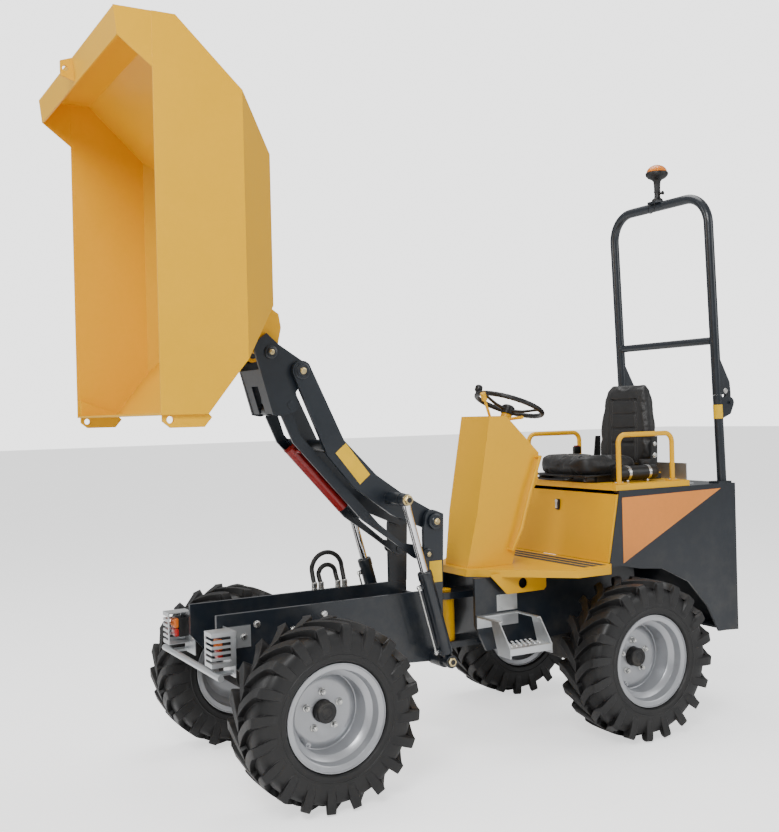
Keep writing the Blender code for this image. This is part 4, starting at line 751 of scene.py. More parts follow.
class DUMPER_OT_stage(Operator):
    """Pale floor, soft lamps, bright surroundings and the camera"""

    bl_idname = "dumper.stage"
    bl_label = "Stage"

    def execute(self, context):
        shape = bmesh.new()
        bmesh.ops.create_grid(shape, x_segments=8, y_segments=8, size=60.0)
        mesh = bpy.data.meshes.new("floor")
        shape.to_mesh(mesh)
        shape.free()
        floor = put("floor", mesh)
        floor.location.z = -0.0005
        sketch, shader = new_material("floor_pale", roughness=0.85, emission_strength=1.1)
        drifted = sketch.group("colour_drift", base=(0.93, 0.93, 0.93, 1.0), depth=0.02, size=0.4)
        seen = sketch.node("ShaderNodeLightPath").outputs["Is Camera Ray"]
        glow = sketch.blend(seen, (0.12, 0.12, 0.12, 1.0), (1.0, 1.0, 1.0, 1.0))
        sketch.settings(shader, base_color=drifted["Colour"], emission_color=glow)
        mesh.materials.append(finish_of("floor_pale"))
        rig.stage(floor)

        for name, place, aim, size, power in (
            ("key_lamp", (4.5, -4.0, 5.2), (0.0, -0.3, 1.2), 3.0, 330.0),
            ("fill_lamp", (5.5, 4.5, 3.5), (0.0, 0.4, 1.0), 3.5, 105.0),
            ("front_lamp", (-2.5, -6.5, 4.0), (0.0, -0.5, 1.5), 3.0, 150.0),
            ("top_lamp", (-1.0, 1.0, 6.5), (0.0, 0.0, 1.0), 4.0, 170.0),
        ):
            light = bpy.data.lights.new(name, "AREA")
            light.shape = "DISK"
            light.size = size
            light.energy = power
            lamp = put(name, light)
            lamp.location = place
            lamp.rotation_euler = (Vector(aim) - Vector(place)).to_track_quat("-Z", "Y").to_euler()

        world = bpy.data.worlds.new("surroundings")
        context.scene.world = world
        world.use_nodes = True
        world.node_tree.nodes.clear()
        sketch = Sketch(world.node_tree)
        spot = sketch.node("ShaderNodeSeparateXYZ")
        sketch.join(sketch.node("ShaderNodeTexCoord").outputs["Generated"], spot.inputs[0])
        height = sketch.spread(spot.outputs["Z"], -0.2, 0.9)
        glow = sketch.blend(height, (0.3, 0.31, 0.32, 1.0), (0.72, 0.72, 0.72, 1.0))
        seen = sketch.node("ShaderNodeLightPath").outputs["Is Camera Ray"]
        light = sketch.node("ShaderNodeBackground")
        sketch.settings(light, color=sketch.blend(seen, glow, (3.2, 3.2, 3.2, 1.0)), strength=0.85)
        sketch.join(light.outputs[0], sketch.node("ShaderNodeOutputWorld").inputs[0])

        heading, tilt, roll = 2.6258, -0.002, -0.0248
        level = math.cos(tilt)
        ahead = Vector((level * math.cos(heading), level * math.sin(heading), math.sin(tilt)))
        right = ahead.cross(Z_AXIS).normalized()
        up = right.cross(ahead)
        across = right * math.cos(roll) + up * math.sin(roll)
        above = up * math.cos(roll) - right * math.sin(roll)
        data = bpy.data.cameras.new("camera")
        data.lens = 46.09
        data.sensor_width = 36.0
        data.clip_end = 200.0
        camera = put("camera", data)
        camera.matrix_world = Matrix((across, above, -ahead)).transposed().to_4x4()
        camera.location = at(4.4235, -1.8804, 1.5837)
        context.scene.camera = camera
        return {"FINISHED"}


# ---- Finishes on the frame -----------------------------------------------------

FRAME_FINISHES = {
    "yellow_paint": "skip seat_base steering_cowl engine_cover footplate centre_pivot",
    "slate_paint": "front_frame mast_left mast_right boom lower_link headstock rear_frame rear_body",
    "cast_black": "front_axle rear_axle engine_block",
    "galvanised": "cab_step back_panel cover_hinge_leaf lamp_bar lamp_guard_left lamp_guard_right",
    "safety_red": "safety_strut",
}


SAME_PLACE = 0.00002
CRISP_ANGLE = math.radians(32.0)


def smoother():
    """A modifier tree that joins a node's loose corners and smooths its round faces."""
    tree = bpy.data.node_groups.new("smooth_round_faces", "GeometryNodeTree")
    tree.interface.new_socket("Geometry", in_out="INPUT", socket_type="NodeSocketGeometry")
    tree.interface.new_socket("Geometry", in_out="OUTPUT", socket_type="NodeSocketGeometry")
    sketch = Sketch(tree)
    weld_up = sketch.node("GeometryNodeMergeByDistance")
    sketch.settings(weld_up, distance=SAME_PLACE)
    plain = sketch.node("GeometryNodeRemoveAttribute")
    sketch.settings(plain, name="custom_normal")
    smooth = sketch.node("GeometryNodeSetShadeSmooth", domain="FACE")
    crisp = sketch.node("GeometryNodeSetShadeSmooth", domain="EDGE")
    sketch.settings(crisp, shade_smooth=False)
    corner = sketch.node("FunctionNodeCompare", data_type="FLOAT", operation="GREATER_THAN")
    sketch.join(sketch.node("GeometryNodeInputMeshEdgeAngle").outputs[0], corner.inputs[0])
    corner.inputs[1].default_value = CRISP_ANGLE
    sketch.settings(crisp, selection=corner.outputs[0])
    chain = [sketch.node("NodeGroupInput"), weld_up, plain, smooth, crisp, sketch.node("NodeGroupOutput")]
    for first, second in zip(chain, chain[1:]):
        sketch.join(first.outputs[0], second.inputs[0])
    return tree


class DUMPER_OT_finishes(Operator):
    """Makes every finish and gives the frame's own nodes theirs"""

    bl_idname = "dumper.finishes"
    bl_label = "Finishes"

    def execute(self, context):
        build_shader_groups()
        build_finishes(context.scene.dumper_colours)
        tree = smoother()
        for finish, names in FRAME_FINISHES.items():
            for name in names.split():
                node = NODES[name]
                for held in node.material_slots:
                    held.material = finish_of(finish)
                node.modifiers.new("smooth", "NODES").node_group = tree
        return {"FINISHED"}


# ---- Wheels --------------------------------------------------------------------

TYRE_LOW, TYRE_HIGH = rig.box("front_left_tyre")
TYRE_RADIUS = (TYRE_HIGH.z - TYRE_LOW.z) / 2
WHEELS = [(f"{end}_{side}", sign) for end in ("front", "rear") for side, sign in SIDES]


def carcass_profile():
    """Closed section of the tyre without its lugs: crown, sidewall with two ribs, bead and liner."""
    half = mm("0 354.5, 30 354, 60 352, 84 348, 102 341, 114 331, 120 318, 123.2 304, 124.8 290, "
        "125.4 276, 125.6 262, 125.2 256, 127.6 254.6, 127.6 251.2, 125 250, 124 242, "
        "123.2 238, 124.4 233, 123.6 228.5, 118 224, 112 221.2, 100 220.6, 98.5 210, 98 197.5, "
        "90 196.2, 64 195.6, 60 201, 72 210, 100 230, 113 260, 114 290, 104 320, 76 336, 40 340")
    return half + [(0.0, 0.3405)] + [(-across, radius) for across, radius in half[:0:-1]]


def tread_lug(shape, centre, half, phase, width):
    """One lug from crown to shoulder and down the sidewall. Its crown end leads as the wheel rolls."""
    stations = []
    crown_steps = 8
    for step in range(crown_steps + 1):
        t = step / crown_steps
        across = -0.006 + 0.123 * t
        lag = 0.265 * (1 - (1 - t) ** 1.45)
        top = TYRE_RADIUS - 0.0002 - 0.22 * max(across, 0.0) ** 2
        base = 0.3475 - 0.55 * max(across - 0.05, 0.0) ** 1.6
        stations.append((across, top, across - 0.001, base, lag, width * (0.46 + 0.1 * t)))
    for across, top, base_across, base, lag, share in (
        (0.1245, 0.3745, 0.11, 0.332, 0.272, 0.58), (0.13, 0.365, 0.116, 0.322, 0.277, 0.6),
        (0.1314, 0.345, 0.118, 0.312, 0.284, 0.6), (0.1316, 0.325, 0.119, 0.3, 0.292, 0.58),
        (0.1308, 0.305, 0.12, 0.286, 0.299, 0.54), (0.129, 0.285, 0.12, 0.272, 0.305, 0.48),
        (0.1266, 0.268, 0.12, 0.264, 0.309, 0.4),
    ):
        stations.append((across, top, base_across, base, lag, width * share))
    rings = []
    for index, (across, top, base_across, base, lag, spread) in enumerate(stations):
        before, after = stations[max(index - 1, 0)], stations[min(index + 1, len(stations) - 1)]
        run = math.hypot(after[0] - before[0], after[1] - before[1])
        slope = (after[4] - before[4]) * top / max(run, 1e-5)
        reach = spread * min(math.hypot(1.0, slope), 1.9) / top
        foot = reach + 0.006 / top
        ring = []
        for turn, out, radius in ((foot, base_across, base), (reach, across, top), (-reach, across, top),
                (-foot, base_across, base)):
            angle = phase - lag + turn
            spot = Vector((half * out, -math.sin(angle) * radius, math.cos(angle) * radius))
            ring.append(shape.verts.new(centre + spot))
        rings.append(ring)
    skin(shape, rings)


class DUMPER_OT_tyres(Operator):
    """Tractor-tread tyres: a ribbed carcass with curved lugs in two staggered rows"""

    bl_idname = "dumper.tyres"
    bl_label = "Tyres"

    def execute(self, context):
        made = sizes()
        for name, _ in WHEELS:
            centre = PIVOTS[f"{name}_roll"]
            shape = bmesh.new()
            lathe(shape, carcass_profile(), centre, X_AXIS, made.round_steps, closed=True)
            for half in (-1, 1):
                for count in range(made.lug_count):
                    phase = math.tau * (count + (0.5 if half > 0 else 0.0)) / made.lug_count
                    tread_lug(shape, centre, half, phase, made.lug_width)
            piece = add_piece(f"{name}_tyre_tread", shape, f"{name}_wheel", "tyre", ["tyre_rubber"],
                [f"{name}_tyre"])
            round_over(piece, 0.0022, 42.0)
        return {"FINISHED"}


def rim_profile():
    """Closed section of the rim: rolled flanges, bead seats and the well."""
    outer = mm("115 214, 115 216.8, 113.8 218.4, 111.5 219, 108.5 218.4, 104 216.6, 101 211, 100 199, "
        "97 195, 62 194, 50 175, 46 166")
    inner = mm("49 159, 55 164, 66 183.5, 74 186.8, 96 188, 103 190.5, 105.8 196, 106.8 208, "
        "108.5 212.5, 112 213.5")
    return (outer + [(-across, radius) for across, radius in outer[::-1]]
        + [(-across, radius) for across, radius in inner[::-1]] + inner)


class DUMPER_OT_rims(Operator):
    """Deep-dish rims with a welded disc, wheel nuts and a valve, and turned hub caps on the axles"""

    bl_idname = "dumper.rims"
    bl_label = "Rims"

    def execute(self, context):
        made = sizes()
        for name, sign in WHEELS:
            centre = PIVOTS[f"{name}_roll"]
            axis = X_AXIS * sign
            shape = bmesh.new()
            lathe(shape, rim_profile(), centre, axis, made.round_steps, closed=True)
            disc = mm("-21.5 46.2, -20.5 50, -21.5 54, -21.5 108, -19 118, -19.5 131, -23.5 142, -30 150, "
                "-35 160, -45 160, -40 148, -33 134, -31.5 120, -31.5 46.2")
            lathe(shape, disc, centre, axis, made.round_steps, closed=True)
            weld(shape, circle(centre - axis * 0.0345, 0.1585, 60), 0.003, seed=3)
            for count in range(made.nut_count):
                turn = math.tau * count / made.nut_count + 0.35
                place = centre - axis * 0.0212 + (Y_AXIS * math.cos(turn) + Z_AXIS * math.sin(turn)) * 0.078
                for steps, washer_nut_or_stud in (
                    (24, mm("-1 15.5, 3 15, 4 12.5")),
                    (HEXAGON, mm("3 12.2, 15 12.2, 17.5 10.5")),
                    (16, mm("16 6.2, 23 6.2, 24.2 5")),
                ):
                    lathe(shape, washer_nut_or_stud, place, axis, steps, finish=1)
            turn = math.radians(232.0)
            valve = centre + (Y_AXIS * math.cos(turn) + Z_AXIS * math.sin(turn)) * 0.147
            lathe(shape, mm("-34 13, 22 13, 25 11.5, 25 6, 34 5.5, 36 4"), valve, axis, 24)
            add_piece(f"{name}_rim_dish", shape, f"{name}_wheel", "silver", ["wheel_silver", "bright_zinc"],
                [f"{name}_rim"])

        for end, body in (("front", "front_half"), ("rear", "rear_half")):
            low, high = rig.box(f"{end}_axle")
            shape = bmesh.new()
            for x, sign in ((high.x, 1), (low.x, -1)):
                hub = Vector((x, PIVOTS[f"{end}_left_roll"].y, TYRE_RADIUS))
                lathe(shape, mm("-2 42.5, 3 42.5, 6 39.5, 6 28, 3 26, 3 18, 5 16"), hub, X_AXIS * sign, 48)
            add_piece(f"{end}_hub_caps", shape, body, "cast", ["cast_black"])
        return {"FINISHED"}


# ---- Rams ----------------------------------------------------------------------

LIFT_EYE = at(0.29, 0.532, 1.196)


class DUMPER_OT_rams(Operator):
    """Lift and tip rams: painted barrels with gland, ports and hose ends, and chromed rods"""

    bl_idname = "dumper.rams"
    bl_label = "Rams"

    def execute(self, context):
        for side, sign in SIDES:
            foot = PIVOTS[f"lift_{side}_swing"].copy()
            foot.x = LIFT_EYE.x * sign
            eye = Vector((foot.x, LIFT_EYE.y, LIFT_EYE.z))
            way, span = (eye - foot).normalized(), (eye - foot).length
            shape = bmesh.new()
            self.eye(shape, foot, 0.0185, 0.027)
            lathe(shape,
                mm("22 0, 20 20, 30 22.5, 38 30, 42 32, 398 32, 398.5 34.2, 428 34.2, 434 32.5, 435 23, "
                "431 20, 425 19.5, 60 24"), foot, way, 40)
            outward = (way.cross(X_AXIS) * -1).normalized()
            for along in (0.06, 0.375):
                port = foot + way * along + outward * 0.03
                lathe(shape, [(-0.004, 0.012), (0.012, 0.0115)], port, outward, 20)
                lathe(shape, mm("11 10.5, 24 10.5, 26 9"), port, outward, HEXAGON, finish=1)
            pipe = foot + outward * 0.05
            tube(shape, [pipe + way * along for along in (0.062, 0.16, 0.28, 0.373)], 0.0045, 12, finish=1)
            add_piece(f"lift_{side}_barrel_body", shape, f"lift_{side}_cylinder", "slate",
                ["slate_paint", "bright_zinc"], [f"lift_{side}_barrel"])
            shape = bmesh.new()
            lathe(shape, [(0.33, 0.018), (span - 0.045, 0.018), (span - 0.038, 0.019),
                (span - 0.022, 0.0215), (span - 0.018, 0.0)], foot, way, 40)
            self.eye(shape, eye, 0.0185, 0.027, finish=1)
            add_piece(f"lift_{side}_rod_body", shape, f"lift_{side}_piston", "chrome",
                ["chrome", "slate_paint"], [f"lift_{side}_rod"])
        foot = PIVOTS["tip_swing"].copy()
        foot.x = 0.0
        eye = at(0, -0.0048, 1.976)
        way, span = (eye - foot).normalized(), (eye - foot).length
        shape = bmesh.new()
        self.eye(shape, foot, 0.0145, 0.023)
        lathe(shape, mm("18 0, 17 16, 26 19, 34 25.5, 37 27, 180 27, 180.5 29, 199 29, 204 27.5, 205 18, "
            "202 16, 198 15.5, 50 20"), foot, way, 36)
        add_piece("tip_barrel_body", shape, "tip_cylinder", "slate", ["slate_paint"], ["tip_barrel"])
        shape = bmesh.new()
        lathe(shape, [(0.178, 0.014), (span - 0.036, 0.014), (span - 0.019, 0.0175), (span - 0.015, 0.0)],
            foot, way, 36)
        self.eye(shape, eye, 0.0145, 0.023, finish=1)
        add_piece("tip_rod_body", shape, "tip_piston", "chrome", ["chrome", "slate_paint"], ["tip_rod"])
        return {"FINISHED"}

    def eye(self, shape, place, bore, radius, finish=0):
        """A ring with chamfered sides that lies across the machine."""
        half, chamfer = 0.0215, 0.002
        lathe(shape, [(-half, bore), (-half, radius - chamfer), (chamfer - half, radius),
            (half - chamfer, radius), (half, radius - chamfer), (half, bore)], place, X_AXIS, 36,
            closed=True, finish=finish)


# ---- Roll-over hoop and beacon -------------------------------------------------

HOOP_FOOT_Y, HOOP_FOOT_Z = 2.44, 1.175
HOOP_HEIGHT, HOOP_LEAN = 1.552, 0.06


def hoop_y(height):
    """How far back the leaning hoop stands at a height."""
    return HOOP_FOOT_Y - HOOP_LEAN * (height - HOOP_FOOT_Z) / HOOP_HEIGHT


class DUMPER_OT_hoop(Operator):
    """Folding roll-over hoop of bent tube, with its crossbar, hinge leaves and beacon"""

    bl_idname = "dumper.hoop"
    bl_label = "Hoop And Beacon"

    def execute(self, context):
        shape = bmesh.new()
        half, bend, crown, foot = 0.366, 0.15, 2.702, 1.641
        corner = [(half - bend + bend * math.cos(turn), crown - bend + bend * math.sin(turn))
            for turn in (math.pi / 2 * step / 12 for step in range(13))]
        post = [(half, foot + (crown - bend - foot) * step / 6) for step in range(6)] + corner
        path = post + [(-x, z) for x, z in post[::-1]]
        tube(shape, [at(x, hoop_y(z), z) for x, z in path], 0.025, 32)
        bar = 1.93
        tube(shape, [at(x, hoop_y(bar), bar) for x in (-0.36, -0.12, 0.12, 0.36)], 0.02, 28)
        for side in (-1, 1):
            weld(shape, circle(at(side * (half - 0.0235), hoop_y(bar), bar), 0.0205, 24), 0.0028,
                seed=side + 5)
            x = side * half
            hinge = at(0, 2.49, 1.6)
            leaf = [at(0, hoop_y(1.681), 1.643), hinge + Vector((0, -0.012, 0.043))]
            leaf += arc(hinge, 0.024, 200, 360, 12)
            leaf += [hinge + Vector((0, 0.024, 0.055)), hinge + Vector((0, 0.018, 0.11)),
                at(0, hoop_y(1.881) + 0.024, 1.84), at(0, hoop_y(1.881), 1.881),
                at(0, hoop_y(1.881) - 0.006, 1.88)]
            prism(shape, leaf, X_AXIS * (x - 0.0078), X_AXIS * 0.0156)
            lathe(shape, [(-0.0152, 0.0086), (0.0152, 0.0086)], hinge + X_AXIS * x, X_AXIS, 20, finish=1)
            bolt(shape, hinge + X_AXIS * (x + side * 0.0085) + Vector((0, -0.016, 0.062)), X_AXIS * side,
                0.012, finish=1)
        slab(shape, at(-0.04, 2.342, 2.717), at(0.04, 2.421, 2.7308), 0.002)
        add_piece("roll_hoop_tube", shape, "hoop", "slate", ["slate_paint", "bright_zinc"], ["roll_hoop"])

        foot = at(0, 2.381, 2.7313)
        shape = bmesh.new()
        lathe(shape,
            mm("0 29, 3 30, 10 30, 13 27, 20 18, 30 16.5, 50 16.5, 51 18.5, 58 18.5, 59 17, 92 18, "
            "112 20.5, 122 30, 131 48, 140 57, 148 61.5, 156 62.2, 160.5 60.5"), foot, Z_AXIS, 56)
        lathe(shape, mm("0 6, 16 6, 20 11, 26 11"), foot + Vector((0.015, 0.0, 0.04)),
            Vector((0.8, 0.2, 0.1)), 16)
        ring = [foot + Vector((0.026 * math.sin(turn), -0.045 + 0.006 * math.cos(turn),
            -0.036 + 0.034 * math.cos(turn))) for turn in turns(28)]
        tube(shape, ring, 0.0022, 8, loop=True)
        add_piece("beacon_stand", shape, "hoop", "black", ["black_plastic"])
        shape = bmesh.new()
        lathe(shape, mm("160.7 54, 163 56, 172 54.5, 183 48, 193 37, 200 23, 204 9, 204.7 0"), foot, Z_AXIS,
            56)
        add_piece("beacon_dome", shape, "hoop", "amber", ["amber_dome"], ["beacon"])
        return {"FINISHED"}


# ---- Cover, rails and hand wheel ------------------------------------------------


class DUMPER_OT_grab_rails(Operator):
    """Bent grab rails on foot plates, and the strapped document tube"""

    bl_idname = "dumper.grab_rails"
    bl_label = "Grab Rails"

    def execute(self, context):
        for side, sign in SIDES:
            low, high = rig.box(f"grab_rail_{side}")
            x = sign * 0.367
            front, rear, top, bend = low.y + 0.03, high.y - 0.03, high.z - 0.0125, 0.045
            foot = low.z
            shape = bmesh.new()
            path = [Vector((x, front, foot + step)) for step in (0.001, 0.06, 0.12)]
            path += arc(Vector((x, front + bend, top - bend)), bend, 180, 90, 9)
            path += arc(Vector((x, rear - bend, top - bend)), bend, 90, 0, 9)
            path += [Vector((x, rear, foot + step)) for step in (0.12, 0.06, 0.001)]
            tube(shape, path, 0.0125, 24)
            for y in (front, rear):
                slab(shape, (x - 0.023, y - 0.029, foot), (x + 0.023, y + 0.029, foot + 0.0065), 0.0015)
                weld(shape, circle(Vector((x, y, foot + 0.0075)), 0.0135, 20, X_AXIS, Y_AXIS), 0.0022,
                    seed=9)
                for way in (-1, 1):
                    bolt(shape, Vector((x, y + way * 0.021, foot + 0.0068)), Z_AXIS, 0.006, finish=1)
            add_piece(f"grab_rail_{side}_tube", shape, "cover", "yellow", ["yellow_paint", "bright_zinc"],
                [f"grab_rail_{side}"])
        low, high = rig.box("document_tube")
        middle = Vector(((low.x + high.x) / 2, low.y, high.z - 0.038))
        reach = high.y - low.y
        shape = bmesh.new()
        lathe(shape, [(0.0, 0.03), (0.004, 0.036), (0.01, 0.0378), (0.052, 0.0378), (0.054, 0.035),
            (0.058, 0.035), (0.06, 0.0368), (reach * 0.7, 0.0368), (reach * 0.71, 0.0378),
            (reach - 0.012, 0.0378), (reach - 0.004, 0.035), (reach, 0.028)], middle, Y_AXIS, 40)
        for turn in turns(16):
            edge = middle + Vector((0.0368 * math.cos(turn), 0.03, 0.0368 * math.sin(turn)))
            lathe(shape, [(-0.02, 0.0016), (0.02, 0.0016)], edge, Y_AXIS, 8)
        for along in (0.075, reach - 0.06):
            lathe(shape, mm("-8 36.6, -8 38.6, 8 38.6, 8 36.6"), middle + Y_AXIS * along, Y_AXIS, 40,
                closed=True, finish=1)
            slab(shape, middle + Vector((-0.014, along - 0.008, -0.0466)),
                middle + Vector((0.014, along + 0.008, -0.036)), 0.001, finish=1)
        add_piece("document_tube_body", shape, "cover", "black", ["black_plastic", "bright_zinc"],
            ["document_tube"])
        return {"FINISHED"}


class DUMPER_OT_hand_wheel(Operator):
    """Three-spoke hand wheel with finger grips, a domed hub and a spinner knob"""

    bl_idname = "dumper.hand_wheel"
    bl_label = "Hand Wheel"

    def execute(self, context):
        tilt = math.radians(21.0)
        axis = Vector((0, math.sin(tilt), math.cos(tilt)))
        centre = at(0, 1.331, 1.615)
        ring, thick = 0.172, 0.013
        upward = axis.cross(X_AXIS)

        def round_to(turn, distance, rise=0.0):
            return centre + (X_AXIS * math.cos(turn) + upward * math.sin(turn)) * distance + axis * rise

        shape = bmesh.new()
        grips = 144
        path = [round_to(turn, ring) for turn in turns(grips)]
        radii = [thick * (0.965 + 0.035 * math.cos(step * math.tau / 4)) for step in range(grips)]
        tube(shape, path, radii, 20, loop=True)
        for degrees in (-90, 30, 150):
            turn = math.radians(degrees)
            spoke = [round_to(turn, distance, rise)
                for distance, rise in mm("10 -30, 40 -29, 80 -24, 125 -12, 150 -4, 170 0")]
            tube(shape, spoke, [0.015, 0.0145, 0.012, 0.0105, 0.011, 0.012], 18, flat=0.62)
        lathe(shape, mm("-51 30, -48 33, -20 34, -12 33.5, -10 30, -9 28, -6 26.2, -3 20, -2 0"), centre,
            axis, 40)
        grip = centre + (X_AXIS * -0.5 - upward * 0.866) * ring
        lathe(shape, mm("4 11, 16 10, 18 15, 26 19.2, 38 20, 48 18, 54 11, 56 0"), grip, axis, 32)
        add_piece("hand_wheel_rim", shape, "hand_wheel", "black", ["black_plastic"], ["steering_wheel"])
        return {"FINISHED"}


# ---- Seat ----------------------------------------------------------------------


FOAM_PRESSURE = 4.0
VOXEL = 0.005
SWELL_FRAMES = 20


def swell(piece, cap):
    """Blows a closed shape up like foam under a cover, by no more than a cap, then subdivides it."""
    remesh = piece.modifiers.new("remesh", "REMESH")
    remesh.mode = "VOXEL"
    remesh.voxel_size = VOXEL
    settle(piece)
    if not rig.quick():
        before = [vertex.co.copy() for vertex in piece.data.vertices]
        cloth = piece.modifiers.new("swell", "CLOTH")
        cloth.settings.use_pressure = True
        cloth.settings.uniform_pressure_force = FOAM_PRESSURE
        cloth.settings.effector_weights.gravity = 0.0
        cloth.settings.tension_stiffness = 25.0
        cloth.settings.bending_stiffness = 2.0
        cloth.point_cache.frame_start, cloth.point_cache.frame_end = 1, SWELL_FRAMES
        for count in range(1, SWELL_FRAMES + 1):
            bpy.context.scene.frame_set(count)
        settled = piece.evaluated_get(bpy.context.evaluated_depsgraph_get())
        moved = [vertex.co.copy() for vertex in settled.data.vertices]
        piece.modifiers.remove(cloth)
        for vertex, start, end in zip(piece.data.vertices, before, moved):
            shift = end - start
            vertex.co = start + (shift * (cap / shift.length) if shift.length > cap else shift)
        bpy.context.scene.frame_set(1)
    smooth = piece.modifiers.new("smooth", "SMOOTH")
    smooth.iterations = 6
    divide = piece.modifiers.new("divide", "SUBSURF")
    divide.levels = divide.render_levels = 1
    settle(piece)


def settle(piece):
    """Turns a piece's modifiers into its plain mesh."""
    graph = bpy.context.evaluated_depsgraph_get()
    graph.update()
    mesh = bpy.data.meshes.new_from_object(piece.evaluated_get(graph), depsgraph=graph)
    piece.modifiers.clear()
    old = piece.data
    piece.data = mesh
    mesh.name = piece.name
    bpy.data.meshes.remove(old)


def groove(distance, width, depth):
    """How deep a sewn channel is at a distance from its seam."""
    return depth * math.exp(-(distance / width) ** 2)


